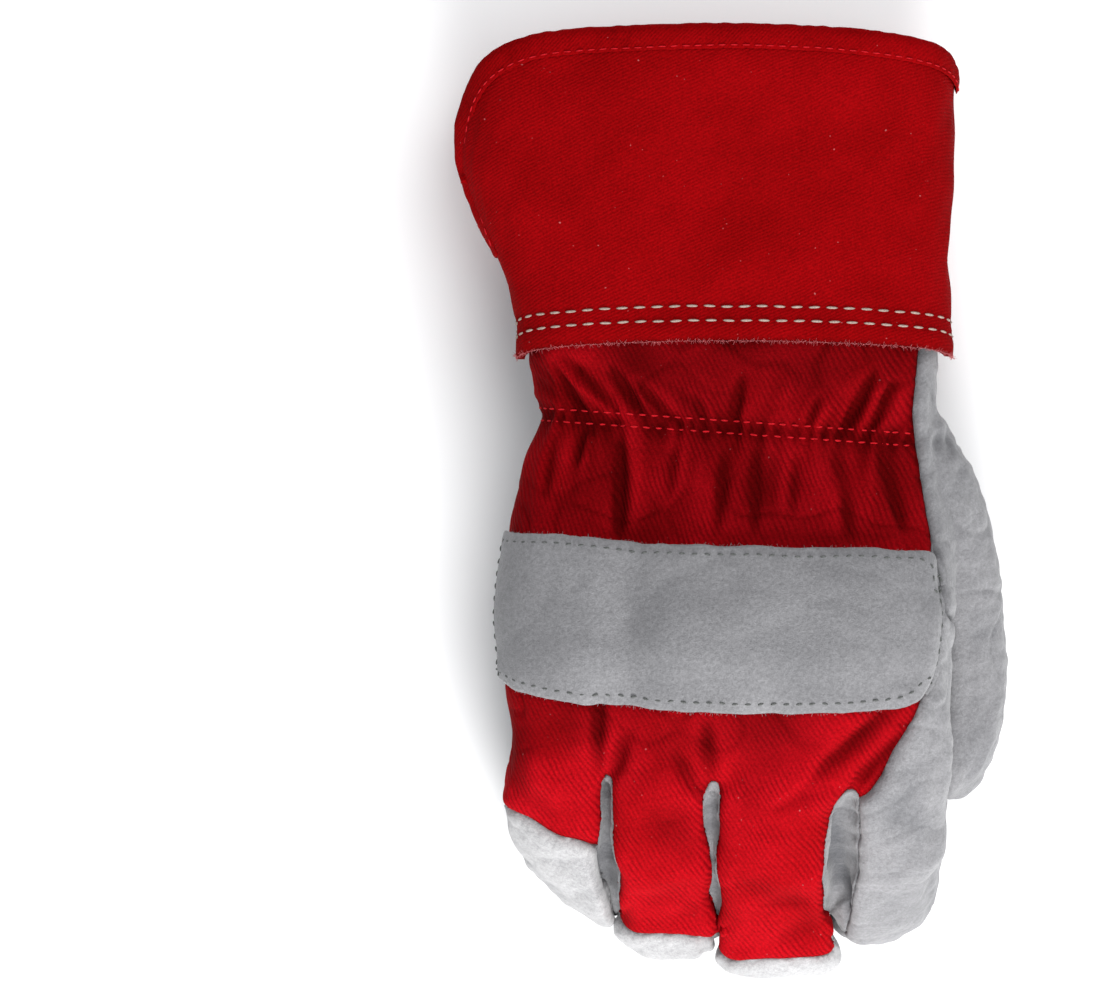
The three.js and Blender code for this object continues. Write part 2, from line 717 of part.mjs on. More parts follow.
// Knuckle strap: across the back from the little finger's side seam to the edge of the canvas.
// at: share of the way across. top: its upper edge, share of the hand's length. width: share of
// the strap's width.
const STRAP_EDGES = [
  { at: 0.0, top: 0.418, width: 0.973 },
  { at: 0.3, top: 0.455, width: 0.992 },
  { at: 0.4, top: 0.471, width: 0.956 },
  { at: 0.5, top: 0.483, width: 0.948 },
  { at: 0.85, top: 0.488, width: 0.937 },
  { at: 0.95, top: 0.488, width: 0.885 },
  { at: 1.0, top: 0.488, width: 0.729 },
];
const STRAP_CLEARANCE = 0.45;
const STRAP_FROM = BACK_STEPS - 1; // its ends, among the columns round the back
const STRAP_TO = Math.round(BACK_STEPS / 6);
const strapTops = STRAP_EDGES.map((row) => row.top * HAND_LENGTH);
const STRAP_TOP_STATION = Math.ceil(Math.min(...strapTops) / STATION);
const STRAP_LOW_STATION = Math.floor((Math.min(...strapTops) + STRAP_WIDTH) / STATION);
const STRAP_ROWS = STRAP_LOW_STATION - STRAP_TOP_STATION + 2;
const STRAP_ROW_LEAST = 0.8; // the least height of a row where the edges come close

function strapPoint(i, j, side) {
  const across = i / (STRAP_FROM - STRAP_TO);
  const top = -column(STRAP_EDGES, "top", across) * HAND_LENGTH;
  const bottom = top - column(STRAP_EDGES, "width", across) * STRAP_WIDTH;
  const rows = [bottom];
  for (let k = STRAP_LOW_STATION; k >= STRAP_TOP_STATION; k -= 1) rows.push(-k * STATION);
  rows.push(top);
  const low = bottom + j * STRAP_ROW_LEAST;
  const high = top - (STRAP_ROWS - j) * STRAP_ROW_LEAST;
  const y = Math.min(high, Math.max(low, rows[j]));
  const angle = (Math.PI * (STRAP_FROM - i)) / BACK_STEPS;
  return handPoint(angle, y, STRAP_CLEARANCE + side * LEATHER);
}
panels.knuckle_strap = solidOf(wall(STRAP_FROM - STRAP_TO, STRAP_ROWS, strapPoint));

// Cuff. It starts round the hand's wrist section and flares to its mouth. The slit on the
// little-finger side runs between the ends of its turn, given in degrees from the left.
const MOUTH = { left: 0.515, right: 0.427 }; // shares of the mouth's width
const MOUTH_SQUARENESS = 2.9;
const HEM_DROP = 4; // how far the cuff's hem comes below the seam at the sides
const HEM_RISE = { back: 0.5, palm: 4 }; // how far it is above the seam in the middle
const SLIT_AT_SEAM = 2;
const SLIT_AT_MOUTH = { back: 14, palm: 26 };
const FLARE_START = 4; // the cuff widens from this far above the seam
const FLARE = 1.1; // over this share of its length, so the rim is just short of the mouth's size
const LEFT_FLARE = 0.7; // the share for its slit side, which widens from the seam on
const SAG = 0.4; // the share for its palm side, which sags onto the surface
const PRESSED = 3; // how much deeper the palm side would be if the surface weren't there

function cuffPoint(angle, y, grow) {
  const flare = smooth((y - FLARE_START) / (FLARE * CUFF_LENGTH));
  const leftFlare = smooth(y / (LEFT_FLARE * CUFF_LENGTH));
  const sag = smooth((y + HEM_DROP) / (SAG * CUFF_LENGTH));
  const clear = CUFF_CLEARANCE + CUFF_WALL / 2;
  const seam = (key, size) => column(HAND_SECTIONS, key, 0) * size + clear;
  const halves = {
    left: lerp(seam("left", HAND_WIDTH), MOUTH.left * CUFF_MOUTH_WIDTH, leftFlare) + grow,
    right: lerp(seam("right", HAND_WIDTH), MOUTH.right * CUFF_MOUTH_WIDTH, flare) + grow,
    up: lerp(seam("back", HAND_DEPTH), CUFF_MOUTH_DEPTH / 2, flare) + grow,
    down: lerp(seam("palm", HAND_DEPTH), CUFF_MOUTH_DEPTH / 2 + PRESSED, sag) + grow,
  };
  const [x, z] = sectionPoint(angle, lerp(HAND_SQUARENESS, MOUTH_SQUARENESS, flare), halves);
  return new THREE.Vector3(x, y, Math.max(SIDE + z, CUFF_REST - grow));
}

const slitShare = (y) => smooth(y / CUFF_LENGTH);
const backEnd = (y) => (180 - lerp(SLIT_AT_SEAM, SLIT_AT_MOUTH.back, slitShare(y))) * DEGREE;
const palmEnd = (y) => -(180 - lerp(SLIT_AT_SEAM, SLIT_AT_MOUTH.palm, slitShare(y))) * DEGREE;
const cuffAngle = (across, y) => lerp(backEnd(y), palmEnd(y), across);

// Distances round the cuff's mouth from the back edge of the slit, and the shares they stand for.
const GIRTH_STEPS = 96;
const girths = [0];
for (let i = 1; i <= GIRTH_STEPS; i += 1) {
  const [from, to] = [(i - 1) / GIRTH_STEPS, i / GIRTH_STEPS].map((share) =>
    cuffPoint(cuffAngle(share, CUFF_LENGTH), CUFF_LENGTH, 0),
  );
  girths.push(girths[i - 1] + from.distanceTo(to));
}
const cuffGirth = girths[GIRTH_STEPS];

function acrossAt(distance) {
  const i = Math.min(GIRTH_STEPS - 1, Math.max(0, girths.findLastIndex((g) => g <= distance)));
  return (i + (distance - girths[i]) / (girths[i + 1] - girths[i])) / GIRTH_STEPS;
}

// The cuff's columns: close together round its two rounded corners, and even between them.
const CORNER_STEPS = 5;
const CUFF_MIDDLE_STEPS = 26;
const cuffColumns = [];
for (let i = 0; i < CORNER_STEPS; i += 1) {
  cuffColumns.push(CUFF_CORNER * (1 - Math.cos((i / CORNER_STEPS) * 90 * DEGREE)));
}
for (let i = 0; i <= CUFF_MIDDLE_STEPS; i += 1) {
  cuffColumns.push(lerp(CUFF_CORNER, cuffGirth - CUFF_CORNER, i / CUFF_MIDDLE_STEPS));
}
for (let i = CORNER_STEPS - 1; i >= 0; i -= 1) cuffColumns.push(cuffGirth - cuffColumns[i]);

const RIM_ARCH = 0.8; // the lower, the flatter the middle of the rim
function rimY(distance) {
  const angle = cuffAngle(acrossAt(distance), CUFF_LENGTH);
  const arch = CUFF_LENGTH - CUFF_RIM_DROP * (1 - Math.abs(Math.sin(angle)) ** RIM_ARCH);
  const into = Math.max(0, CUFF_CORNER - Math.min(distance, cuffGirth - distance));
  return arch - CUFF_CORNER + Math.sqrt(CUFF_CORNER ** 2 - into ** 2);
}

function hemY(distance) {
  const sine = Math.sin(cuffAngle(acrossAt(distance), 0));
  return lerp(-HEM_DROP, sine > 0 ? HEM_RISE.back : HEM_RISE.palm, Math.abs(sine));
}

const CUFF_ROWS = 6;
function cuffWall(i, j, side, grow = (side - 0.5) * CUFF_WALL) {
  const y = lerp(hemY(cuffColumns[i]), rimY(cuffColumns[i]), j / CUFF_ROWS);
  return cuffPoint(cuffAngle(acrossAt(cuffColumns[i]), y), y, grow);
}
panels.cuff = solidOf(wall(cuffColumns.length - 1, CUFF_ROWS, cuffWall));

// Binding: a folded tape over the cuff's rim, from low on the back edge of the slit to low on the
// palm edge. It is swept as a U that straddles the cuff's wall.
const BINDING_LOW_ROW = 3;

function bindingLine() {
  const edge = (distance) => {
    const places = [];
    for (let j = BINDING_LOW_ROW; j < CUFF_ROWS; j += 1) {
      places.push({ distance, y: lerp(hemY(distance), rimY(distance), j / CUFF_ROWS) });
    }
    return places;
  };
  const rim = cuffColumns.map((distance) => ({ distance, y: rimY(distance) }));
  return [...edge(0), ...rim, ...edge(cuffGirth).reverse()];
}

function bindingRings() {
  const line = bindingLine();
  const onCuff = (distance, y) => cuffPoint(cuffAngle(acrossAt(distance), y), y, 0);
  const at = (k) => {
    const { distance, y } = line[Math.min(line.length - 1, Math.max(0, k))];
    return onCuff(distance, y);
  };
  return line.map(({ distance, y }, k) => {
    const along = at(k + 1).sub(at(k - 1)).normalize();
    const round = onCuff(distance + 1, y).sub(onCuff(distance - 1, y));
    const up = onCuff(distance, y + 1).sub(onCuff(distance, y - 1));
    const out = new THREE.Vector3().crossVectors(round, up).normalize();
    const over = new THREE.Vector3().crossVectors(out, along).normalize();
    const inner = CUFF_WALL / 2 + BINDING_SLACK;
    const outside = inner + BINDING_WALL;
    const crest = BINDING_SLACK + BINDING_WALL;
    const profile = [
      [outside, crest - BINDING_WIDTH],
      [outside, crest],
      [-outside, crest],
      [-outside, crest - BINDING_WIDTH],
      [-inner, crest - BINDING_WIDTH],
      [-inner, BINDING_SLACK],
      [inner, BINDING_SLACK],
      [inner, crest - BINDING_WIDTH],
    ];
    return profile.map(([a, b]) => at(k).addScaledVector(out, a).addScaledVector(over, b));
  });
}

// The triangles that close one end of the binding's section.
const BINDING_END = [
  [0, 1, 7],
  [7, 1, 6],
  [6, 1, 2],
  [6, 2, 5],
  [5, 2, 3],
  [5, 3, 4],
];

function bindingWall(rings) {
  const last = (rings.length - 1) * rings[0].length;
  const index = ringSides(rings);
  BINDING_END.forEach(([a, b, c]) => index.push(a, c, b, last + a, last + b, last + c));
  return meshed(rings.flat(), index);
}
panels.cuff_binding = solidOf(bindingWall(bindingRings()));

// Vein patch: leather over the palm side of the cuff, with its two upper corners rounded.
const PATCH_LEFT = -0.44; // share of the hand's width
const PATCH_LOW = 4.5;

function patchOutline() {
  const left = PATCH_LEFT * HAND_WIDTH;
  const top = PATCH_LOW + PATCH_LENGTH;
  const corner = [];
  for (let i = 0; i <= CORNER_STEPS; i += 1) {
    const turn = (i / CORNER_STEPS) * 90 * DEGREE;
    corner.push([PATCH_CORNER * (1 - Math.cos(turn)), top - PATCH_CORNER * (1 - Math.sin(turn))]);
  }
  return [
    [left, PATCH_LOW],
    [left + PATCH_WIDTH, PATCH_LOW],
    ...corner.map(([inset, y]) => [left + PATCH_WIDTH - inset, y]),
    ...corner.reverse().map(([inset, y]) => [left + inset, y]),
  ];
}

const overCuff = wall(cuffColumns.length - 1, CUFF_ROWS, (i, j, side) =>
  cuffWall(i, j, side, CUFF_WALL / 2 + SEAM_GAP + side * LEATHER),
);
panels.vein_patch = solidOf(overCuff).intersect(region(patchOutline(), BELOW, SIDE));

// Welt: a leather-covered cord along the seam at the roots of the two middle fingers.
function palmHeight(x, y) {
  const under = (ring) => {
    let height = Infinity;
    ring.forEach((p, i) => {
      const q = ring[(i + 1) % ring.length];
      if ((p.x - x) * (q.x - x) <= 0 && p.x !== q.x) {
        height = Math.min(height, lerp(p.z, q.z, (x - p.x) / (q.x - p.x)));
      }
    });
    return height;
  };
  const hand = [];
  for (let i = 0; i <= PALM_STEPS; i += 1) {
    hand.push(handPoint(Math.PI * (1 + i / PALM_STEPS), y, 0));
  }
  const inHand = y >= -HAND_LENGTH;
  const heights = FINGERS.map((finger) => {
    const { root, length } = fingerSpan(finger);
    return under(fingerRing(finger, (root - y) / length, 0));
  });
  return Math.min(inHand ? under(hand) : Infinity, ...heights);
}

const WELT_STEPS = 20;
function weltSolid() {
  const radius = WELT_DIAMETER / 2;
  const points = edgePoints(WELT_LINE).map(
    ([x, y]) => new THREE.Vector3(x, y, palmHeight(x, y) - radius - WELT_CLEARANCE),
  );
  const path = new THREE.CatmullRomCurve3(points);
  const round = new THREE.Shape().absarc(0, 0, radius, 0, 2 * Math.PI);
  const made = new THREE.ExtrudeGeometry(round, {
    extrudePath: path,
    steps: WELT_STEPS,
    curveSegments: 3,
    bevelEnabled: false,
  });
  return solidOf(made);
}
panels.palm_welt = weltSolid();

// The curled glove
const suede = new THREE.MeshStandardMaterial({ color: 0x8f9496, roughness: 0.95 });
const redCanvas = new THREE.MeshStandardMaterial({ color: 0xa8101a, roughness: 0.85 });
const redTape = new THREE.MeshStandardMaterial({ color: 0xb0121c, roughness: 0.8 });
const MATERIALS = { back_panel: redCanvas, cuff: redCanvas, cuff_binding: redTape };

// Cuts the triangles that cross a station, so that they can turn there. The thumb doesn't curl.
const ON_STATION = 0.02;

function cutAt(y, points, triangles) {
  const middles = new Map();
  const middle = (a, b) => {
    const [p, q] = [points[a], points[b]];
    const crosses = (p.y - y) * (q.y - y) < 0;
    const near = Math.min(Math.abs(p.y - y), Math.abs(q.y - y)) < ON_STATION;
    if (!crosses || near || (onThumb(p) && onThumb(q))) return -1;
    const key = `${Math.min(a, b)},${Math.max(a, b)}`;
    if (!middles.has(key)) {
      middles.set(key, points.length);
      points.push(p.clone().lerp(q, (y - p.y) / (q.y - p.y)));
    }
    return middles.get(key);
  };
  return triangles.flatMap(([a, b, c]) => {
    const cuts = [middle(a, b), middle(b, c), middle(c, a)];
    const whole = cuts.map((cut) => cut < 0);
    if (whole.every(Boolean)) return [[a, b, c]];
    const turn = whole.filter(Boolean).length === 2 ? whole.indexOf(false) : whole.indexOf(true);
    const corners = [a, b, c].map((_, i) => [a, b, c][(turn + i) % 3]);
    const [first, second, third] = [0, 1, 2].map((i) => cuts[(turn + i) % 3]);
    const [p, q, r] = corners;
    if (second < 0) return [[p, first, r], [first, q, r]];
    return [[p, q, second], [p, second, third], [third, second, r]];
  });
}

function curledMesh(name, solid) {
  const mesh = solid.getMesh();
  const points = [];
  for (let i = 0; i < mesh.numVert; i += 1) {
    points.push(new THREE.Vector3().fromArray(mesh.vertProperties, i * mesh.numProp));
  }
  let triangles = [];
  for (let i = 0; i < mesh.numTri; i += 1) {
    triangles.push([...mesh.triVerts.slice(3 * i, 3 * i + 3)]);
  }
  const end = Math.min(...points.map((point) => point.y));
  for (let k = 1; -k * STATION > end; k += 1) {
    triangles = cutAt(-k * STATION, points, triangles);
  }
  const geometry = meshed(points.map(curl), triangles.flat());
  const made = new THREE.Mesh(geometry, MATERIALS[name] ?? suede);
  made.name = name;
  return made;
}

const glove = new THREE.Group();
for (const [name, solid] of Object.entries(panels)) {
  glove.add(curledMesh(name, largest(solid)));
}

// The part's origin is at the middle of its footprint, on the surface that it lies on.
const footprint = new THREE.Box3().setFromObject(glove);
glove.position.set(
  -(footprint.min.x + footprint.max.x) / 2,
  -(footprint.min.y + footprint.max.y) / 2,
  -footprint.min.z,
);

export default glove;
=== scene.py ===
# %% [markdown]
# # A rigger glove
# The glove lies palm down with its fingers curled onto the floor. This lesson dresses the packed
# model of it: smooth leather and canvas panels that meet in sewn seams, a stiff cuff with a taped
# edge, and the rows of stitches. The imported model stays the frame, so that no size changes.

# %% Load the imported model
import math

import bmesh
import bpy
import numpy as np
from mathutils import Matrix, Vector
from mathutils.bvhtree import BVHTree
from mathutils.kdtree import KDTree


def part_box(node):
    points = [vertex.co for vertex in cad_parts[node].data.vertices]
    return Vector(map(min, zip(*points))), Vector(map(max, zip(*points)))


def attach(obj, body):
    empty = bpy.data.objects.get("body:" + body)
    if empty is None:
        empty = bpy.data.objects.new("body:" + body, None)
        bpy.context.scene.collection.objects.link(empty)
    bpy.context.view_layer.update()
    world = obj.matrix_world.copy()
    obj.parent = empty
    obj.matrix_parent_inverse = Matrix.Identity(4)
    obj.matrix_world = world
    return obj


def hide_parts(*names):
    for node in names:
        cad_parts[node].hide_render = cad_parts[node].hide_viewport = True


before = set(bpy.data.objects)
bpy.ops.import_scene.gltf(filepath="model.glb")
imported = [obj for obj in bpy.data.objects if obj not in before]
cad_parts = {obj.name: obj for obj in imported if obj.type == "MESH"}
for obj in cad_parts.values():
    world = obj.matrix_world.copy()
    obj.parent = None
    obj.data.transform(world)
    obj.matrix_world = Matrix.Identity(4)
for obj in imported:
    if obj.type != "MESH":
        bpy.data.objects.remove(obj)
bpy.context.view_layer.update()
MM = 0.001
scene = bpy.context.scene
print("packed nodes:", len(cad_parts))

# %% [markdown]
# ## Picture and light
# The photograph looks straight down on a bright table. A long lens high above the glove shows
# it almost without perspective. The fingers are the brightest part, so the main lamp stands in
# front of them, and a wide second lamp and a pale world keep the shadows soft.

# %% Camera
MM_PER_PIXEL = 0.235
PICTURE_WIDTH = 1094
CAMERA_HEIGHT = 4.0
SHARP_HEIGHT = 0.04  # the height above the floor where the scale is right
CAMERA_X, CAMERA_Y = -0.0425, -0.0015

camera_data = bpy.data.cameras.new("camera")
camera_data.sensor_width = 36
camera_data.lens = 36 * (CAMERA_HEIGHT - SHARP_HEIGHT) / (PICTURE_WIDTH * MM_PER_PIXEL * MM)
camera = bpy.data.objects.new("camera", camera_data)
camera.location = (CAMERA_X, CAMERA_Y, CAMERA_HEIGHT)
scene.collection.objects.link(camera)
scene.camera = camera
scene.view_settings.view_transform = "Standard"
print("lens:", round(camera_data.lens, 1), "mm")

# %% Lamps and world
def area_lamp(name, place, aim, size, power):
    data = bpy.data.lights.new(name, "AREA")
    data.shape = "DISK"
    data.size = size
    data.energy = power
    lamp = bpy.data.objects.new(name, data)
    lamp.location = place
    direction = Vector(aim) - Vector(place)
    lamp.rotation_euler = direction.to_track_quat("-Z", "Y").to_euler()
    scene.collection.objects.link(lamp)


area_lamp("front_lamp", (0.1, -0.62, 0.38), (0.01, -0.07, 0.03), 0.4, 7.0)
area_lamp("top_lamp", (0.35, 0.35, 1.15), (0, 0, 0), 0.9, 8)

world = bpy.data.worlds.new("studio")
scene.world = world
world.use_nodes = True
world.node_tree.nodes["Background"].inputs["Color"].default_value = (0.95, 0.97, 1.0, 1)
world.node_tree.nodes["Background"].inputs["Strength"].default_value = 0.62

# %% [markdown]
# ## Finishes
# Split leather is the fleshy side of the hide: it has no grain, but a matt nap that is paler
# and darker in soft clouds, with fine fibres. The back is cotton drill, whose twill runs in steep
# diagonal lines. Each finish is made from noise and waves on the object's own coordinates, so
# that it stays at its true size wherever the piece lies.

# %% Helpers that build nodes
def add_node(tree, kind, inputs=None, **settings):
    """A new node in a tree. Its inputs are values, or sockets that are linked to it."""
    node = tree.nodes.new(kind)
    for key, value in settings.items():
        setattr(node, key, value)
    for key, value in (inputs or {}).items():
        if isinstance(value, bpy.types.NodeSocket):
            tree.links.new(value, node.inputs[key])
        else:
            node.inputs[key].default_value = value
    return node


class Finish:
    """A material and short calls that add its nodes."""

    def __init__(self, name, roughness, sheen=0.0, gloss=0.2):
        self.material = bpy.data.materials.new(name)
        self.material.use_nodes = True
        self.tree = self.material.node_tree
        self.shader = self.tree.nodes["Principled BSDF"]
        self.shader.inputs["Roughness"].default_value = roughness
        self.shader.inputs["Specular IOR Level"].default_value = gloss
        self.shader.inputs["Sheen Weight"].default_value = sheen
        self.shader.inputs["Sheen Roughness"].default_value = 0.6
        self.place = self.tree.nodes.new("ShaderNodeTexCoord").outputs["Object"]

    def add(self, kind, inputs=None, **settings):
        return add_node(self.tree, kind, inputs, **settings)

    def noise(self, size_mm, detail=2.0, rough=0.5):
        """Noise whose clouds are about size_mm across."""
        inputs = {"Vector": self.place, "Scale": 1 / (size_mm * MM), "Detail": detail, "Roughness": rough}
        return self.add("ShaderNodeTexNoise", inputs).outputs["Fac"]

    def math(self, operation, a, b=0.0):
        return self.add("ShaderNodeMath", {0: a, 1: b}, operation=operation).outputs[0]

    def ramp(self, value, stops):
        """Colours or greys along a value, as (place, colour) pairs."""
        node = self.add("ShaderNodeValToRGB", {"Fac": value})
        while len(node.color_ramp.elements) < len(stops):
            node.color_ramp.elements.new(0.5)
        for element, (place, colour) in zip(node.color_ramp.elements, stops):
            element.position = place
            element.color = (*colour, 1)
        return node.outputs["Color"]

    def mix(self, how, factor, a, b):
        """Colour a mixed with b, which is a socket or a plain colour."""
        inputs = {0: factor, 6: a, 7: b if isinstance(b, bpy.types.NodeSocket) else (*b, 1)}
        return self.add("ShaderNodeMix", inputs, data_type="RGBA", blend_type=how).outputs[2]

    def folds_darken(self, colour, shade):
        """Painted shade: darkens the colour by the shade that the mesh holds at its points, deepest in
        folds and seams.
        """
        fold = self.add("ShaderNodeAttribute", attribute_name="fold").outputs["Fac"]
        return self.mix("MULTIPLY", fold, colour, shade)

    def colour(self, socket):
        self.tree.links.new(socket, self.shader.inputs["Base Color"])

    def bump(self, heights):
        """Stacked bumps, each a height socket with its depth in millimetres."""
        below = {}
        for height, depth_mm in heights:
            inputs = {"Height": height, "Strength": 1.0, "Distance": depth_mm * MM, **below}
            below = {"Normal": self.add("ShaderNodeBump", inputs).outputs["Normal"]}
        self.tree.links.new(below["Normal"], self.shader.inputs["Normal"])


# %% Split leather
def grey(value):
    return (value, value, value)


def split_leather(name, dark, middle, light):
    """Suede nap with soft clouds and fine fibres. The colours go from dark to light clouds."""
    finish = Finish(name, roughness=0.93, sheen=0.25)
    clouds = finish.noise(20, detail=3, rough=0.5)
    nap = finish.noise(0.9, detail=4, rough=0.6)
    fibres = finish.noise(0.3, detail=3, rough=0.6)
    colour = finish.ramp(clouds, [(0.25, dark), (0.5, middle), (0.78, light)])
    speckle = finish.ramp(nap, [(0.3, grey(0.78)), (0.7, grey(1.14))])
    colour = finish.mix("MULTIPLY", 1.0, colour, speckle)
    grain = finish.ramp(fibres, [(0.35, grey(0.8)), (0.65, grey(1.12))])
    colour = finish.mix("MULTIPLY", 0.8, colour, grain)
    # Painted shade: the leather is darkened in folds, seams and slits.
    finish.colour(finish.folds_darken(colour, (0.45, 0.46, 0.48)))
    finish.bump([(finish.noise(5, detail=3), 0.3), (nap, 0.2), (fibres, 0.12)])
    return finish.material


suede = split_leather(
    "split_leather", (0.168, 0.166, 0.173), (0.206, 0.204, 0.211), (0.248, 0.245, 0.253)
)
strap_suede = split_leather(
    "strap_leather", (0.173, 0.172, 0.179), (0.196, 0.194, 0.201), (0.228, 0.226, 0.234)
)
pale_suede = split_leather(
    "fingertip_leather", (0.31, 0.306, 0.31), (0.35, 0.346, 0.35), (0.40, 0.396, 0.40)
)
welt_leather = split_leather(
    "welt_leather", (0.07, 0.075, 0.06), (0.10, 0.105, 0.085), (0.14, 0.145, 0.12)
)

# %% [markdown]
# ## Canvas
# A twill shows as fine diagonal ridges. A sine of the distance across them gives the ridges, and
# noise lets them wander and breaks their threads up. Here and there a pale speck of lint clings
# to the cloth. The cuff's canvas is finer and darker than the coarse drill of the back.

# %% Red canvas
def canvas(name, dark, light, twill_mm, slant, depth_mm, line):
    """Twill of a given spacing and depth. slant is the share of y in the direction across its
    lines, and line says how dark the lines are, from 0 to 1."""
    finish = Finish(name, roughness=0.9, gloss=0.02)
    direction = Vector((1.0, slant, 0.35)).normalized()
    across = finish.add("ShaderNodeVectorMath", {0: finish.place, 1: direction}, operation="DOT_PRODUCT")
    wobble = finish.math("MULTIPLY", finish.noise(11, detail=3), 2.2 * twill_mm * MM)
    across = finish.math("ADD", across.outputs["Value"], wobble)
    angle = finish.math("MULTIPLY", across, 2 * math.pi / (twill_mm * MM))
    ridge = finish.math("ADD", finish.math("MULTIPLY", finish.math("SINE", angle), 0.5), 0.5)
    threads = finish.noise(0.5, detail=2, rough=0.6)
    clouds = finish.noise(22, detail=3, rough=0.6)
    colour = finish.ramp(clouds, [(0.3, dark), (0.7, light)])
    lines = finish.ramp(ridge, [(0.0, grey(0.6)), (0.6, grey(1.1))])
    patchy = finish.ramp(finish.noise(6, detail=2), [(0.35, grey(0.25 * line)), (0.65, grey(line))])
    colour = finish.mix("MULTIPLY", patchy, colour, lines)
    slub = finish.ramp(threads, [(0.3, grey(0.7)), (0.7, grey(1.25))])
    colour = finish.mix("MULTIPLY", 0.9, colour, slub)
    lint = finish.ramp(finish.noise(0.9, detail=0), [(0.86, grey(0)), (0.9, grey(0.6))])
    colour = finish.mix("MIX", lint, colour, (0.45, 0.14, 0.14))
    # Painted shade: the canvas is darkened wherever the mesh holds shade, such as folds, seams and the hem.
    finish.colour(finish.folds_darken(colour, (0.28, 0.2, 0.2)))
    finish.bump([(clouds, 0.4), (ridge, depth_mm), (threads, 0.1)])
    return finish.material


CUFF_RED = (0.185, 0.0006, 0.0012)
back_canvas = canvas("back_canvas", (0.25, 0.0015, 0.0035), (0.34, 0.0025, 0.0065), 1.15, 0.5, 0.16, 0.9)
cuff_canvas = canvas("cuff_canvas", CUFF_RED, (0.235, 0.0009, 0.002), 0.75, -2.2, 0.06, 0.35)
binding_tape = canvas("binding_tape", CUFF_RED, (0.24, 0.0009, 0.002), 0.7, -1.0, 0.06, 0.3)


# %% Threads
def thread(name, colour):
    """Twisted thread, darkened by painted shade in random spots, which stand for where it turns under."""
    finish = Finish(name, roughness=0.7, gloss=0.08)
    painted_twist_shade = finish.ramp(finish.noise(0.4, detail=1), [(0.3, [c * 0.6 for c in colour]), (0.7, colour)])
    finish.colour(painted_twist_shade)
    finish.bump([(finish.noise(0.25, detail=1), 0.08)])
    return finish.material


tan_thread = thread("tan_thread", (0.42, 0.33, 0.28))
red_thread = thread("red_thread", (0.55, 0.008, 0.015))
grey_thread = thread("grey_thread", (0.12, 0.125, 0.12))
pink_thread = thread("frayed_canvas", (0.60, 0.16, 0.17))
pale_fibre = thread("leather_fibre", (0.36, 0.36, 0.37))
print("finishes:", [m.name for m in bpy.data.materials if m.use_nodes])

# %% [markdown]
# ## Helpers for meshes
# The panels are worked on as arrays of points and faces, since every point of a surface moves
# by the same rule. Relaxing moves a point towards the middle of its neighbours. Doing that twice
# and adding back what was lost takes the facets away and keeps the size.

# %% Arrays from meshes and back
def read(items, key, size, kind=float):
    """One value of every item, as rows of the given size."""
    values = np.zeros(len(items) * size, kind)
    items.foreach_get(key, values)
    return values.reshape(-1, size)


def arrays(mesh):
    """A mesh's points and edges."""
    return read(mesh.vertices, "co", 3), read(mesh.edges, "vertices", 2, np.int64)


def triangles(mesh):
    mesh.calc_loop_triangles()
    return read(mesh.loop_triangles, "vertices", 3, np.int64)


def normals(mesh):
    return read(mesh.vertices, "normal", 3)


def centres_and_normals(mesh):
    """The middle and the direction of every face."""
    return read(mesh.polygons, "center", 3), read(mesh.polygons, "normal", 3)


def set_points(mesh, points, keep_above_floor=False):
    if keep_above_floor:
        points = np.stack([points[:, 0], points[:, 1], np.maximum(points[:, 2], 0)], 1)
    mesh.vertices.foreach_set("co", points.astype(np.float32).ravel())
    mesh.update()


def new_mesh(name, points, faces):
    mesh = bpy.data.meshes.new(name)
    mesh.from_pydata(points.tolist(), [], [list(map(int, face)) for face in faces])
    mesh.update()
    return mesh


def mesh_from(shape, name):
    """A mesh made from a bmesh, which ends here."""
    mesh = bpy.data.meshes.new(name)
    shape.to_mesh(mesh)
    shape.free()
    return mesh


def bmesh_of(mesh):
    shape = bmesh.new()
    shape.from_mesh(mesh)
    return shape


def welded(mesh, name):
    """A copy of a mesh whose points are joined where they lie together."""
    shape = bmesh_of(mesh)
    bmesh.ops.remove_doubles(shape, verts=shape.verts, dist=0.01 * MM)
    return mesh_from(shape, name)


def tree_of(mesh):
    """A tree that finds the nearest triangle of a mesh."""
    return BVHTree.FromPolygons(arrays(mesh)[0].tolist(), triangles(mesh).tolist())


def tree_of_points(places):
    tree = KDTree(len(places))
    for i, place in enumerate(places):
        tree.insert(place, i)
    tree.balance()
    return tree


def distances(places, others):
    """How far each place is from the nearest of the others."""
    tree = tree_of_points(others)
    return np.array([tree.find(place)[2] for place in places])


def baked(mesh, *modifiers):
    """The mesh after modifiers, each a type with its settings."""
    holder = bpy.data.objects.new("holder", mesh)
    scene.collection.objects.link(holder)
    for kind, settings in modifiers:
        modifier = holder.modifiers.new(kind, kind)
        for key, value in settings.items():
            setattr(modifier, key, value)
    evaluated = holder.evaluated_get(bpy.context.evaluated_depsgraph_get())
    result = bpy.data.meshes.new_from_object(evaluated)
    bpy.data.objects.remove(holder)
    return result


SINES = 14  # how many sines make up one field of waves


def relaxed(points, edges, rounds, weight=None, keep_size=True):
    """Points moved towards the middle of their neighbours. weight is 0 to 1 for each point."""
    count = len(points)
    ends = np.concatenate([edges[:, 0], edges[:, 1]])
    others = np.concatenate([edges[:, 1], edges[:, 0]])
    share = np.maximum(np.bincount(ends, minlength=count), 1)
    step = 0.5 * (np.ones(count) if weight is None else weight)

    def smooth(values):
        for _ in range(rounds):
            middle = np.stack(
                [np.bincount(ends, values[others, axis], minlength=count) for axis in range(3)], 1
            )
            values = values + step[:, None] * (middle / share[:, None] - values)
        return values

    first = smooth(points)
    return first + smooth(points - first) if keep_size else first


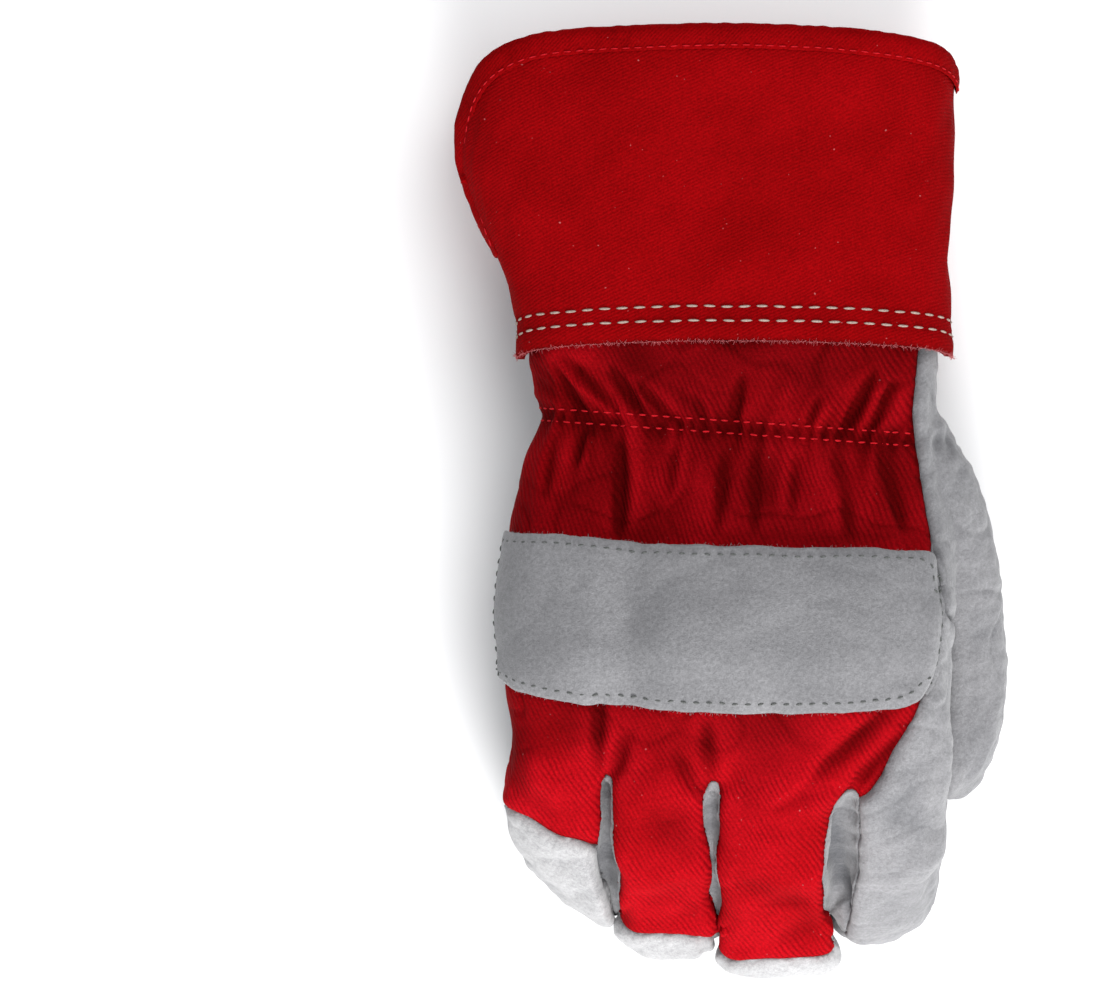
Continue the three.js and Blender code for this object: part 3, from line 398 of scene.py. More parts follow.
def waves(points, size_mm, seed, stretch=(1, 1, 1)):
    """Soft noise of about -1 to 1, made of sines in random directions."""
    random = np.random.default_rng(seed)
    total = np.zeros(len(points))
    scaled = points * np.array(stretch)
    for _ in range(SINES):
        direction = random.normal(size=3)
        direction /= np.linalg.norm(direction)
        turns = 2 * math.pi * random.uniform(0.6, 1.7) / (size_mm * MM)
        total += np.sin(scaled @ direction * turns + random.uniform(0, 2 * math.pi))
    return total / SINES**0.5


def hump(values, middle, reach):
    """1 at the middle, falling to nothing at about twice the reach."""
    return np.exp(-(((values - middle) / reach) ** 2))


def creases(points, size_mm, seed, stretch=(1, 1, 1), width=0.16):
    """Thin wandering lines, 1 along them and 0 between."""
    return hump(waves(points, size_mm, seed, stretch), 0.0, width)


def finished(name, mesh, node, material):
    """A piece that stands for a CAD node, which is hidden."""
    mesh.materials.clear()
    mesh.materials.append(material)
    mesh.shade_smooth()
    piece = bpy.data.objects.new(name, mesh)
    scene.collection.objects.link(piece)
    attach(piece, "root")
    if node:
        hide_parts(node)
    print(name, len(triangles(mesh)), "triangles")
    return piece


# %% [markdown]
# ## The skin of the hand
# The eleven panels of the hand are one skin with seams in it. So they are first melted together
# by a voxel remesh, with a plate that closes the wrist, and relaxed into one smooth skin. Every
# face of it then remembers which panel it came from.

# %% Melt the panels into one skin
HAND_PANELS = [
    "back_panel", "palm_panel", "thumb_back", "front_middle", "front_ring",
    "fingertip_little", "fingertip_ring", "fingertip_middle",
    "fourchette_ring_little", "fourchette_middle_ring", "fourchette_index_middle",
]
VOXEL = 0.8 * MM


def joined(names, extra=()):
    """The points, triangles and owners of several nodes, and of extra (points, triangles)."""
    points, faces, owners, start = [], [], [], 0
    parts = [(arrays(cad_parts[n].data)[0], triangles(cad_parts[n].data)) for n in names]
    for owner, (part_points, part_faces) in enumerate([*parts, *extra]):
        points.append(part_points)
        faces.append(part_faces + start)
        owners.append(np.full(len(part_faces), owner))
        start += len(part_points)
    return np.concatenate(points), np.concatenate(faces), np.concatenate(owners)


def plate(low, high):
    """A closed box between two corners, as points and triangles."""
    shape = bmesh.new()
    bmesh.ops.create_cube(shape, size=1)
    bmesh.ops.triangulate(shape, faces=shape.faces)
    middle, size = (Vector(low) + Vector(high)) / 2, Vector(high) - Vector(low)
    points = np.array([[v.co[i] * size[i] + middle[i] for i in range(3)] for v in shape.verts])
    faces = np.array([[v.index for v in f.verts] for f in shape.faces])
    shape.free()
    return points, faces


def remeshed(mesh, voxel):
    return baked(mesh, ("REMESH", {"mode": "VOXEL", "voxel_size": voxel}))


# The plate fills the wrist's opening, just past the end of the back panel.
wrist_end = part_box("back_panel")[1].y
wrist_plate = plate((-0.052, wrist_end - 0.0015, 0.012), (0.052, wrist_end + 0.001, 0.056))
cad_points, cad_faces, cad_owner = joined(HAND_PANELS, [wrist_plate])
PLATE = len(HAND_PANELS)
blob = remeshed(welded(new_mesh("raw_skin", cad_points, cad_faces), "merged_skin"), VOXEL)


def outer_shell(mesh):
    """The mesh's largest connected part."""
    points, edges = arrays(mesh)
    part = np.arange(len(points))
    while True:
        least = np.minimum(part[edges[:, 0]], part[edges[:, 1]])
        before = part.copy()
        np.minimum.at(part, edges[:, 0], least)
        np.minimum.at(part, edges[:, 1], least)
        part = part[part]
        if (part == before).all():
            break
    biggest = np.bincount(part).argmax()
    shape = bmesh_of(mesh)
    bmesh.ops.delete(shape, geom=[v for v in shape.verts if part[v.index] != biggest], context="VERTS")
    return mesh_from(shape, "skin")


skin = outer_shell(blob)
print("skin:", len(blob.vertices), "points, outer", len(skin.vertices))

# %% [markdown]
# ## Which panel each face belongs to
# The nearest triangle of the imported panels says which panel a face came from. A vote among each
# face's neighbours takes lone faces away, and the seam lines between the panels are then relaxed
# along their own length, so that they run in clean curves.

# %% Label the faces
points, edges = arrays(skin)
face_count = len(skin.polygons)
loop_face = np.repeat(np.arange(face_count), [p.loop_total for p in skin.polygons])
loop_point = read(skin.loops, "vertex_index", 1, np.int64)[:, 0]
loop_edge = read(skin.loops, "edge_index", 1, np.int64)[:, 0]
order = np.argsort(loop_edge, kind="stable")
same = loop_edge[order][1:] == loop_edge[order][:-1]
pair_edge = loop_edge[order][1:][same]
pair_faces = np.stack([loop_face[order][:-1][same], loop_face[order][1:][same]], 1)
centres, facing = centres_and_normals(skin)
cad_tree = BVHTree.FromPolygons(cad_points.tolist(), cad_faces.tolist())
label = np.array([cad_owner[cad_tree.find_nearest(Vector(c))[2]] for c in centres])

face_of = {name: i for i, name in enumerate(HAND_PANELS)}
BACK, PALM, LITTLE_TIP = face_of["back_panel"], face_of["palm_panel"], face_of["fingertip_little"]
LOW = 0.012  # below this height the panels stay as they were packed

# On the little finger's side the canvas wraps round to the glove's widest line.
at_side = (centres[:, 0] < -0.03) & (centres[:, 1] > -0.076) & (centres[:, 2] > LOW)
label[at_side & (facing[:, 2] > -0.3) & (label == PALM)] = BACK
OWN_VOTE = 1.1  # what a face's own label counts for, against 1 for each neighbour's


def voted(labels, rounds):
    """Labels after each face has asked its neighbours."""
    for _ in range(rounds):
        votes = np.zeros((face_count, PLATE + 1))
        np.add.at(votes, (pair_faces[:, 0], labels[pair_faces[:, 1]]), 1)
        np.add.at(votes, (pair_faces[:, 1], labels[pair_faces[:, 0]]), 1)
        votes[np.arange(face_count), labels] += OWN_VOTE
        labels = votes.argmax(1)
    return labels


def in_slits(labels):
    """Which faces belong to the narrow walls between the fingers."""
    return np.isin(labels, [i for n, i in face_of.items() if n.startswith("fourchette")])


label = voted(label, 6)


# %% Take the facets away
def point_share(chosen):
    """For each point, the share of its faces that are chosen."""
    all_faces = np.maximum(np.bincount(loop_point, minlength=len(points)), 1)
    return np.bincount(loop_point, chosen[loop_face].astype(float), minlength=len(points)) / all_faces


def spread(values, rounds):
    """Values for each point, blurred over the surface."""
    return relaxed(np.stack([values] * 3, 1), edges, rounds, keep_size=False)[:, 0]


near_slit = np.clip(spread(point_share(in_slits(label)), 12) * 3, 0, 1)
points = relaxed(points, edges, 26, weight=1 - 0.8 * near_slit)

# %% [markdown]
# ## Fingers as in the photograph
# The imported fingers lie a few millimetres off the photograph's. So they are bent in plan like a
# thin plate, which carries each spot of a table to its place and all between them evenly.
# The edges of the slits between the fingers are drawn in plan as well.

# %% Bend the fingers
# Where spots of the fingers lie after the melting, x and y, and where the photograph has them,
# all in millimetres from above.
NUDGES = [
    (-51.4, -65.0, -51.6, -64.9), (-50.7, -55.5, -50.2, -56.7), (-50.7, -78.7, -51.6, -73.9),
    (-44.5, -83.7, -44.5, -78.1), (-37.5, -84.2, -37.0, -81.4), (-31.6, -83.4, -30.0, -82.8),
    (-50.7, -85.2, -50.4, -79.0), (-48.9, -92.4, -47.1, -85.2), (-44.5, -97.8, -42.2, -90.8),
    (-39.5, -100.0, -35.9, -96.2), (-33.7, -99.3, -30.4, -100.0), (-29.4, -96.7, -26.7, -102.5),
    (-28.3, -93.1, -26.5, -97.1), (-28.3, -97.4, -26.0, -100.7), (-25.8, -101.1, -25.3, -103.5),
    (-21.5, -104.7, -19.9, -105.8), (-15.7, -106.7, -13.3, -107.5), (-10.0, -106.1, -7.2, -108.2),
    (-5.7, -101.8, -3.0, -107.7), (-3.7, -98.1, -1.2, -104.7), (-1.3, -101.0, -2.2, -104.9),
    (0.8, -104.7, -1.8, -108.7), (5.2, -107.2, 3.2, -110.1), (11.6, -108.6, 11.4, -110.8),
    (18.1, -107.9, 20.5, -110.3), (22.4, -104.7, 24.5, -108.9), (25.2, -100.3, 25.2, -104.4),
    (27.5, -93.1, 26.2, -95.5), (27.8, -95.3, 24.6, -98.3), (29.6, -99.6, 25.8, -103.4),
    (33.2, -101.1, 32.3, -104.0), (41.2, -101.1, 40.5, -102.1), (47.6, -99.3, 46.6, -98.5),
    (51.2, -93.8, 49.4, -93.6), (52.7, -86.6, 50.6, -86.3), (53.4, -78.0, 51.8, -78.1),
    (-30.5, -67.2, -29.3, -66.6), (-30.8, -75.8, -29.6, -74.6), (-31.2, -83.7, -29.7, -83.0),
    (-26.0, -67.2, -27.5, -66.8), (-26.4, -75.8, -27.1, -75.8), (-24.7, -86.7, -26.6, -86.6),
    (-5.3, -67.2, -5.0, -68.5), (-5.9, -75.8, -4.8, -75.3), (-4.9, -83.7, -3.9, -83.0),
    (-5.9, -92.4, -3.4, -92.0), (-1.0, -67.2, -2.1, -68.5), (-0.2, -75.8, -2.8, -75.5),
    (-1.3, -86.7, -3.0, -86.6), (-0.5, -92.4, -2.5, -92.4), (24.2, -67.9, 26.2, -71.1),
    (23.8, -74.3, 24.5, -75.0), (23.8, -83.7, 23.1, -83.3), (23.1, -90.3, 23.1, -90.6),
    (30.6, -66.5, 30.6, -69.6), (30.6, -75.8, 30.4, -76.9), (30.6, -83.7, 30.2, -84.0),
    (31.4, -90.3, 29.7, -90.6), (42.6, -56.4, 41.0, -56.2), (37.6, -62.8, 36.5, -63.5),
    (45.5, -47.8, 44.0, -49.0), (-17.5, -89.6, -17.1, -90.6), (10.7, -90.8, 11.1, -92.0),
    (41.2, -87.3, 40.8, -87.3), (-38.7, -70.8, -38.7, -70.1), (-16.3, -70.8, -16.3, -70.8),
    (10.7, -68.5, 10.7, -68.9), (41.2, -70.8, 41.0, -71.1),
    (-24.3, -98.1, -22.9, -97.4), (-18.7, -101.4, -17.8, -100.0), (-14.0, -101.8, -13.5, -100.7),
    (-9.3, -101.8, -8.4, -100.7), (-4.2, -97.4, -3.0, -98.8), (-0.8, -100.9, -0.4, -103.0),
    (5.2, -105.0, 4.6, -105.6), (11.8, -105.8, 11.8, -106.1), (18.8, -105.5, 19.8, -105.4),
    (23.4, -102.5, 24.5, -104.4),
]
# Spots that stay where they are: along the knuckles, and beside the little finger and the thumb.
ANCHORS = [(px, -50) for px in range(-60, 70, 12)] + [(-62, -75), (62, -60), (64, -80), (70, -40)]
SLACK = 3.0  # a larger slack bends more softly and meets each spot less exactly


def bend(places):
    """The shift in plan of each place, by a thin plate through the nudges and the anchors."""
    rows = np.array(NUDGES + [(*a, *a) for a in ANCHORS])
    start, goal = rows[:, :2], rows[:, 2:]

    def kernel(a, b):
        away = np.linalg.norm(a[:, None] - b[None], axis=2)
        return away**2 * np.log(np.maximum(away, 1e-6))

    def flat_part(a):
        return np.concatenate([np.ones((len(a), 1)), a], 1)

    size = len(start)
    system = np.zeros((size + 3, size + 3))
    system[:size, :size] = kernel(start, start) + SLACK * np.eye(size)
    system[:size, size:] = flat_part(start)
    system[size:, :size] = flat_part(start).T
    wanted = np.concatenate([goal - start, np.zeros((3, 2))])
    weights = np.linalg.solve(system, wanted)
    return kernel(places, start) @ weights[:size] + flat_part(places) @ weights[size:]


BEND_FROM, BEND_FULL = -0.048, -0.060  # y where the bending starts, and where it is whole
bent = points[:, 1] < BEND_FROM
share = np.clip((BEND_FROM - points[bent, 1]) / (BEND_FROM - BEND_FULL), 0, 1)
moved = bend(points[bent, :2] / MM) * MM * share[:, None]
points[bent, :2] += moved
print("bent by up to", round(np.abs(moved).max() / MM, 1), "mm")

# %% Draw the slits and the seam of the little finger's tip
SLITS = {  # the fingers on either side, and rows of y, left edge and right edge in millimetres
    "fourchette_ring_little": ("fingertip_little", "back_panel", [
        (-65.9, -28.6, -28.1), (-67.1, -29.0, -27.5), (-74.3, -29.6, -27.2), (-83.0, -29.7, -26.7),
        (-88.7, -28.8, -26.5), (-93.1, -27.9, -26.2), (-97.8, -26.8, -26.0), (-101.4, -26.2, -25.9),
    ]),
    "fourchette_middle_ring": ("back_panel", "back_panel", [
        (-67.5, -4.1, -2.7), (-68.7, -4.8, -2.1), (-73.6, -5.2, -2.6), (-79.0, -4.2, -3.0),
        (-87.3, -3.8, -2.8), (-97.1, -3.0, -1.9), (-100.2, -2.4, -1.7),
    ]),
    "fourchette_index_middle": ("back_panel", "palm_panel", [
        (-69.6, 27.6, 30.2), (-71.1, 26.4, 30.6), (-75.0, 24.5, 30.5), (-82.6, 23.0, 30.2),
        (-90.6, 23.0, 29.7), (-97.1, 23.8, 28.9), (-105.6, 25.2, 27.8),
    ]),
}


def face_middles(places):
    """The middle of each of the skin's faces."""
    sizes = np.bincount(loop_face, minlength=face_count)
    sums = [np.bincount(loop_face, places[loop_point, axis], minlength=face_count) for axis in range(3)]
    return np.stack(sums, 1) / sizes[:, None]


middles = face_middles(points)
mid_x, mid_y = middles[:, 0] / MM, middles[:, 1] / MM
for name, (left, right, rows) in SLITS.items():
    rows = np.array(rows)[::-1]
    low = np.interp(mid_y, rows[:, 0], rows[:, 1])
    high = np.interp(mid_y, rows[:, 0], rows[:, 2])
    inside = (mid_y > rows[0, 0]) & (mid_y < rows[-1, 0]) & (middles[:, 2] > LOW)
    inside &= (mid_x > low) & (mid_x < high)
    strays = (label == face_of[name]) & (middles[:, 2] > LOW) & ~inside
    label[strays & (mid_x <= (low + high) / 2)] = face_of[left]
    label[strays & (mid_x > (low + high) / 2)] = face_of[right]
    label[inside] = face_of[name]
LITTLE_SEAM = [(-52, -74.0), (-45, -78.0), (-40, -80.6), (-30, -83.2)]  # x and y in millimetres
little_seam = np.interp(mid_x, *zip(*LITTLE_SEAM))
on_little = (mid_x < -29.4) & (mid_x > -54) & (middles[:, 2] > 0.014)
on_little &= np.isin(label, [LITTLE_TIP, BACK])
label[on_little] = np.where(mid_y < little_seam, LITTLE_TIP, BACK)[on_little]
label = voted(label, 3)

# %% Relax the seams along their own length
seam_edges = edges[pair_edge[label[pair_faces[:, 0]] != label[pair_faces[:, 1]]]]
seam_degree = np.bincount(seam_edges.ravel(), minlength=len(points))
on_line = (seam_degree == 2).astype(float)
for _ in range(3):
    points = relaxed(points, seam_edges, 5, weight=on_line, keep_size=False)
    points = relaxed(points, edges, 2, weight=0.6 * (seam_degree == 0), keep_size=False)
set_points(skin, points)
print("seam edges:", len(seam_edges))

# %% [markdown]
# ## Seams, gathers and wrinkles
# Where two panels are sewn, their edges turn inwards, so the skin dips into a groove and swells
# beside it. The elastic at the wrist draws the canvas into narrow pleats that die away towards
# the knuckles. Used leather buckles in short creases across the fingers. All of these are
# heights along the skin's own normals.

# %% Distances from the seams
plate_points = np.unique(loop_point[(label == PLATE)[loop_face]])
inner_seams = seam_edges[~np.isin(seam_edges, plate_points).any(1)]
from_seam = distances(points, points[inner_seams].sum(1) / 2)
x, y, z = points.T
mm_x, mm_y = x / MM, y / MM

# %% Grooves at the seams, and valleys in the canvas
canvas_share = spread(point_share(label == BACK), 4)
slit_share = point_share(in_slits(label))
leather_share = 1 - canvas_share

groove = -1.1 * hump(from_seam, 0, 0.9 * MM) + 0.35 * hump(from_seam, 3.2 * MM, 2.2 * MM)
slit_depth = 1.1 * slit_share * (1 - hump(from_seam, 0, 1.2 * MM))
height = groove * (1 - 0.6 * slit_share)

# Each valley of the canvas in the photograph: x and y of its two ends, its reach and its depth,
# all in millimetres. The canvas swells a little on both sides of a valley.
VALLEYS = [
    (-25.0, 13, -25.6, -9.9, 1.5, 1.5), (-41, 14, -43, 0, 1.1, 0.9), (-34, 15.5, -36, 7, 1.0, 0.9),
    (-0.3, 11.3, -3, -9.2, 1.3, 0.8), (6, 9.6, 6, -9, 1.2, 0.7), (25.8, 10, 28.6, -9.9, 1.6, 0.9),
    (35.6, 11.3, 41.3, -8.5, 1.3, 0.9), (16, 9, 15, -4, 1.1, 0.6), (-13, 11, -14, 0, 1.1, 0.6),
    (-34.8, 20, -41, 31, 1.0, 1.1), (-25, 19, -39, 32.4, 1.3, 1.6), (-20, 18.4, -27.8, 29.6, 1.1, 1.3),
    (-13, 17, -21.4, 26, 1.1, 1.1), (1, 17, 3.3, 28, 1.2, 0.8), (27.2, 15, 34.3, 28.2, 1.3, 1.5),
    (33, 14.8, 39.2, 26, 1.1, 1.2), (18, 15.5, 21.5, 23, 1.0, 0.8), (-5, 17, -8, 23, 1.0, 0.7),
    (-30.6, -45, -30.6, -65, 1.5, 1.3), (-24.2, -56, -27, -66, 1.8, 0.9),
    (-12.9, -60.9, -5.5, -71, 1.7, 0.9), (-5.5, -53, -4.5, -68, 1.6, 0.9),
    (17.4, -69, 37.1, -51, 1.7, 1.3), (11, -74, 23.7, -68, 1.5, 0.8), (28, -70, 40, -57, 1.2, 0.8),
]


def stroke(x, y, x1, y1, x2, y2, reach):
    """1 along a line between two points, fading across it and beyond its ends."""
    dx, dy = x2 - x1, y2 - y1
    along = ((x - x1) * dx + (y - y1) * dy) / (dx * dx + dy * dy)
    t = np.clip(along, 0, 1)
    away = np.hypot(x - x1 - t * dx, y - y1 - t * dy)
    return hump(away, 0, reach * (0.7 + 1.2 * t * (1 - t))) * (1 - 0.75 * np.abs(2 * t - 1) ** 3)


on_back = canvas_share * (z > 0.03)
for x1, y1, x2, y2, reach, depth in VALLEYS:
    line = stroke(mm_x, mm_y, x1, y1, x2, y2, 1.35 * reach)
    shoulder = stroke(mm_x, mm_y, x1, y1, x2, y2, 3.2 * reach)
    height -= depth * on_back * (2.1 * line - 0.9 * shoulder)

# %% Pleats at the elastic
ACROSS = [-45, 42]  # x of the elastic's two ends, in millimetres
rise = mm_y - np.interp(mm_x, ACROSS, [18.6, 12.7])
lean = np.interp(mm_x, [-45, -15, 5, 28, 45], [-1.2, -1.1, 0, 0.55, 0.8])
fan = np.where(rise > 0, mm_x - lean * rise, mm_x) * MM  # the pleats fan out above the elastic
pleat = waves(np.stack([fan, 0.1 * y, 0.3 * z], 1), 8, seed=4)
pleat += 0.6 * waves(np.stack([fan, 0.15 * y, 0.3 * z], 1), 4.5, seed=5)
gathered = np.clip(1 - np.abs(rise) / np.where(rise > 0, 18, 24), 0, 1)
height += 0.6 * gathered * pleat * (0.3 + 0.7 * canvas_share)
tucks = np.cos(2 * math.pi * mm_x / 3.4 + 2 * waves(points, 20, seed=6))
height += 0.3 * tucks * hump(rise, 0, 2.6)
height -= 0.7 * hump(rise, 0, 2.2)

# %% Wrinkles of the leather and the fingers
on_fingers = np.clip((-0.052 - y) / 0.02, 0, 1)
cross = creases(points, 16, seed=11, stretch=(0.45, 1.25, 1.0), width=0.2)
height -= 0.3 * cross * on_fingers * (0.5 + 0.5 * leather_share)
height += 0.4 * waves(points, 17, seed=12) * on_fingers
wander = creases(points, 24, seed=21, width=0.12)
height -= 0.45 * wander * (1 - on_fingers) * (1 - gathered)
height += 0.5 * waves(points, 26, seed=22) * (1 - 0.5 * gathered)
height += 0.16 * waves(points, 6, seed=23) * leather_share

# The leather between the index and middle fingers folds inwards along two strokes.
INDEX_SLIT = [(26.2, -73.2, 25.9, -84.4), (25.9, -84.4, 28.3, -101.4)]
for ends in INDEX_SLIT:
    height -= 1.8 * leather_share * stroke(mm_x, mm_y, *ends, 0.9)

# %% Shade in the folds, and the heights laid on
# Painted shade: the canvas is darkened at the wrist and next to the strap, and every fold and slit is
# darkened by its depth.
at_wrist = 0.66 * np.clip((mm_y + 18) / 8, 0, 1) * (1 - 0.35 * np.clip((-mm_x - 22) / 18, 0, 1))
at_knuckles = 0.5 * np.clip((mm_y + 72) / 14, 0, 1) * (mm_y < -25)
shaded = (at_wrist + at_knuckles) * canvas_share
fold_depth = np.clip(shaded + 0.2 * slit_share - height / 2.2, 0, 1)
height -= slit_depth
off_floor = np.clip(z / (3 * MM), 0, 1)  # what lies on the floor stays flat
set_points(skin, points + normals(skin) * (height * off_floor * MM)[:, None], keep_above_floor=True)
print("heights from", round(height.min(), 2), "to", round(height.max(), 2), "mm")

# %% [markdown]
# ## Cut the skin into panels
# Every panel becomes a piece of its own: its faces are lifted out of the skin and given the
# leather's or the canvas's thickness inwards, with the Solidify modifier.

# %% Panels of the hand
LEATHER, CANVAS = 1.6 * MM, 1.3 * MM


def part_of(mesh, name, chosen, fold=None):
    """The chosen faces of a mesh as a mesh of their own, with the painted shade of folds and seams at its
    points.
    """
    places = arrays(mesh)[0]
    faces = [tuple(mesh.polygons[int(i)].vertices) for i in np.flatnonzero(chosen)]
    used = np.unique(np.concatenate([np.array(f) for f in faces]))
    new_index = np.full(len(places), -1)
    new_index[used] = np.arange(len(used))
    part = new_mesh(name, places[used], [new_index[list(f)] for f in faces])
    set_fold(part, np.zeros(len(used)) if fold is None else fold[used])
    return part


# Stores the strength of the painted shade at every point of a mesh.
def set_fold(mesh, fold):
    attribute = mesh.attributes.new("fold", "FLOAT", "POINT")
    attribute.data.foreach_set("value", fold.astype(np.float32))


def thick(mesh, thickness, offset=-1):
    settings = {"thickness": thickness, "offset": offset, "use_even_offset": False}
    return baked(mesh, ("SOLIDIFY", settings))


for name in HAND_PANELS:
    thickness, slot, material = LEATHER, "split_leather", suede
    if name == "back_panel":
        thickness, slot, material = CANVAS, "back_canvas", back_canvas
    elif name.startswith("fingertip"):
        material = pale_suede
    sheet = part_of(skin, name + "_sheet", label == face_of[name], fold_depth)
    finished("dressed_" + name, thick(sheet, thickness), name, material)

# %% [markdown]
# ## Knuckle strap
# The strap is cut from the skin under it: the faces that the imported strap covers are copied,
# smoothed a little, because thick leather bridges small pleats, and lifted by its seam's gap.

# %% Strap
def covered_by(node, mesh, near):
    """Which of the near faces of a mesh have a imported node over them."""
    tree = tree_of(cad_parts[node].data)
    middles, directions = centres_and_normals(mesh)
    covered = np.zeros(len(middles), bool)
    for i in np.flatnonzero(near(middles, directions)):
        way = Vector(directions[i])
        covered[i] = tree.ray_cast(Vector(middles[i]) - way * 3 * MM, way, 9 * MM)[0] is not None
    return covered


def face_pairs(mesh):
    """The pairs of faces that share an edge."""
    pairs, seen = [], {}
    for polygon in mesh.polygons:
        for key in polygon.edge_keys:
            if key in seen:
                pairs.append((seen[key], polygon.index))
            else:
                seen[key] = polygon.index
    return np.array(pairs)


def tidied(chosen, pairs, rounds=8):
    """The chosen faces after a vote among neighbours, which fills holes and drops specks."""
    for _ in range(rounds):
        votes = np.bincount(pairs[:, 0], chosen[pairs[:, 1]], minlength=len(chosen))
        votes += np.bincount(pairs[:, 1], chosen[pairs[:, 0]], minlength=len(chosen))
        chosen = votes + OWN_VOTE * chosen > 2.5
    return chosen


def rim_edges(mesh):
    """The edges that have only one face."""
    uses = {}
    for polygon in mesh.polygons:
        for key in polygon.edge_keys:
            uses[key] = uses.get(key, 0) + 1
    return np.array([key for key, count in uses.items() if count == 1])


def rim_loop(mesh):
    """The points of the mesh's longest rim, in order."""
    after = {}
    for a, b in rim_edges(mesh):
        after.setdefault(a, []).append(b)
        after.setdefault(b, []).append(a)
    loops, left = [], set(after)
    while left:
        loop = [left.pop()]
        while True:
            steps = [p for p in after[loop[-1]] if p in left]
            if not steps:
                break
            loop.append(steps[0])
            left.discard(steps[0])
        loops.append(loop)
    return max(loops, key=len)


def overlay(mesh, name, chosen, lift_mm, thickness, rounds, roll_mm=0.5):
    """A leather sheet that lies over the chosen faces of a mesh, and its solid. Its rim rolls
    down towards the mesh."""
    sheet = part_of(mesh, name, chosen)
    places, sheet_edges = arrays(sheet)
    rim = rim_edges(sheet)
    on_rim = np.isin(np.arange(len(places)), rim)
    places = relaxed(places, rim, 16, weight=1.0 * on_rim)
    places = relaxed(places, sheet_edges, rounds, weight=1.0 * ~on_rim)
    set_points(sheet, places)
    lift = lift_mm - roll_mm * hump(distances(places, places[on_rim]), 0, 1.6 * MM)
    set_points(sheet, places + normals(sheet) * lift[:, None] * MM)
    return sheet, thick(sheet, thickness, offset=1)


def over_knuckles(middles, directions):
    """Faces 28 mm to either side of the strap's middle, apart from those that look down."""
    return (np.abs(middles[:, 1] + 0.03) < 0.028) & (directions[:, 2] > -0.2)


strap_faces = tidied(covered_by("knuckle_strap", skin, over_knuckles), face_pairs(skin))
strap_sheet, strap_solid = overlay(skin, "strap_sheet", strap_faces, 0.6, LEATHER, 14)
finished("dressed_knuckle_strap", strap_solid, "knuckle_strap", strap_suede)

# %% [markdown]
# ## Cuff
# The cuff is one stiff sheet of canvas, bent round the wrist and open towards the little finger.
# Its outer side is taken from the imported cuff, divided finely and relaxed, so that it bends in
# one curve, and the wall is added inwards.

# %% Cuff sheet
CUFF_WALL = 2 * MM
CUFF_MIDDLE = Vector((0, 0, 0.032))
cuff_whole = welded(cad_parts["cuff"].data, "cuff_whole")
middles, directions = centres_and_normals(cuff_whole)
radial = middles - np.array(CUFF_MIDDLE)
radial[:, 1] = 0
radial /= np.linalg.norm(radial, axis=1)[:, None]
outside = (radial * directions).sum(1) > 0.35
cuff_sheet = part_of(cuff_whole, "cuff_sheet", outside)
cuff_sheet = baked(cuff_sheet, ("SUBSURF", {"subdivision_type": "SIMPLE", "levels": 3, "render_levels": 3}))

places, cuff_edges = arrays(cuff_sheet)
cuff_rim = rim_edges(cuff_sheet)
on_rim = np.isin(np.arange(len(places)), cuff_rim)
loop = rim_loop(cuff_sheet)


def turning(line, reach):
    """How sharply a closed line turns at each point, from 0 to 2."""
    before = line - np.roll(line, reach, 0)
    after = np.roll(line, -reach, 0) - line
    before /= np.linalg.norm(before, axis=1)[:, None]
    after /= np.linalg.norm(after, axis=1)[:, None]
    return 1 - (before * after).sum(1)


# The rim turns most sharply at the two corners where the slit meets the hem.
turn = turning(places[loop], 3)
first = int(turn.argmax())
steps = (np.arange(len(loop)) - first) % len(loop)
second = int(np.where(np.minimum(steps, len(loop) - steps) > 12, turn, 0).argmax())
for _ in range(4):
    places = relaxed(places, cuff_rim, 10, weight=1.0 * on_rim)
    places = relaxed(places, cuff_edges, 14, weight=1.0 * ~on_rim)
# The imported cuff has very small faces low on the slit's back edge, so it is evened out there.
LOW_ON_SLIT = (-0.052, 0.0505, 0.0335)
from_kink = np.linalg.norm(places - np.array(LOW_ON_SLIT), axis=1)
places = relaxed(places, cuff_edges, 60, weight=hump(from_kink, 0, 6 * MM) * ~on_rim, keep_size=False)
lower, upper = min(first, second), max(first, second)
arc_a, arc_b = loop[lower : upper + 1], loop[upper:] + loop[: lower + 1]
hem, top = (arc_a, arc_b) if places[arc_a, 1].mean() < places[arc_b, 1].mean() else (arc_b, arc_a)
set_points(cuff_sheet, places)
HEM_ROWS = (4.7, 8.0)  # how far the two rows of stitches lie from the hem, in millimetres

# Stiff waves, a swelling between the stitch rows and a dent along each.
from_hem = distances(places, places[hem]) / MM
swell = 0.5 * waves(places, 38, seed=31) + 0.2 * waves(places, 14, seed=32)
swell += (
    0.35 * hump(from_hem, 3.0, 2.6)
    - 0.25 * hump(from_hem, HEM_ROWS[1], 1.0)
    - 0.25 * hump(from_hem, HEM_ROWS[0], 0.8)
)
swell *= np.clip(places[:, 2] / (4 * MM) - 0.5, 0, 1)
places = places + normals(cuff_sheet) * swell[:, None] * MM
set_points(cuff_sheet, places)
# Painted shade along the hem and in the dents of the two stitch rows.
cuff_fold = 0.5 * hump(from_hem, 0, 0.8) + sum(0.25 * hump(from_hem, row, 0.6) for row in HEM_ROWS)
cuff_sheet.attributes.remove(cuff_sheet.attributes["fold"])
set_fold(cuff_sheet, np.clip(cuff_fold, 0, 1))
finished("dressed_cuff", thick(cuff_sheet.copy(), CUFF_WALL), "cuff", cuff_canvas)
print("hem", len(hem), "points, edge of the cuff", len(top))

# %% [markdown]
# ## Binding
# A tape is folded over the edge of the cuff. Its section is a narrow U, drawn here in two
# columns: how far it stands out of the cuff's outer side, and how far beyond its edge. The
# section is carried along the edge, turning with the cuff.

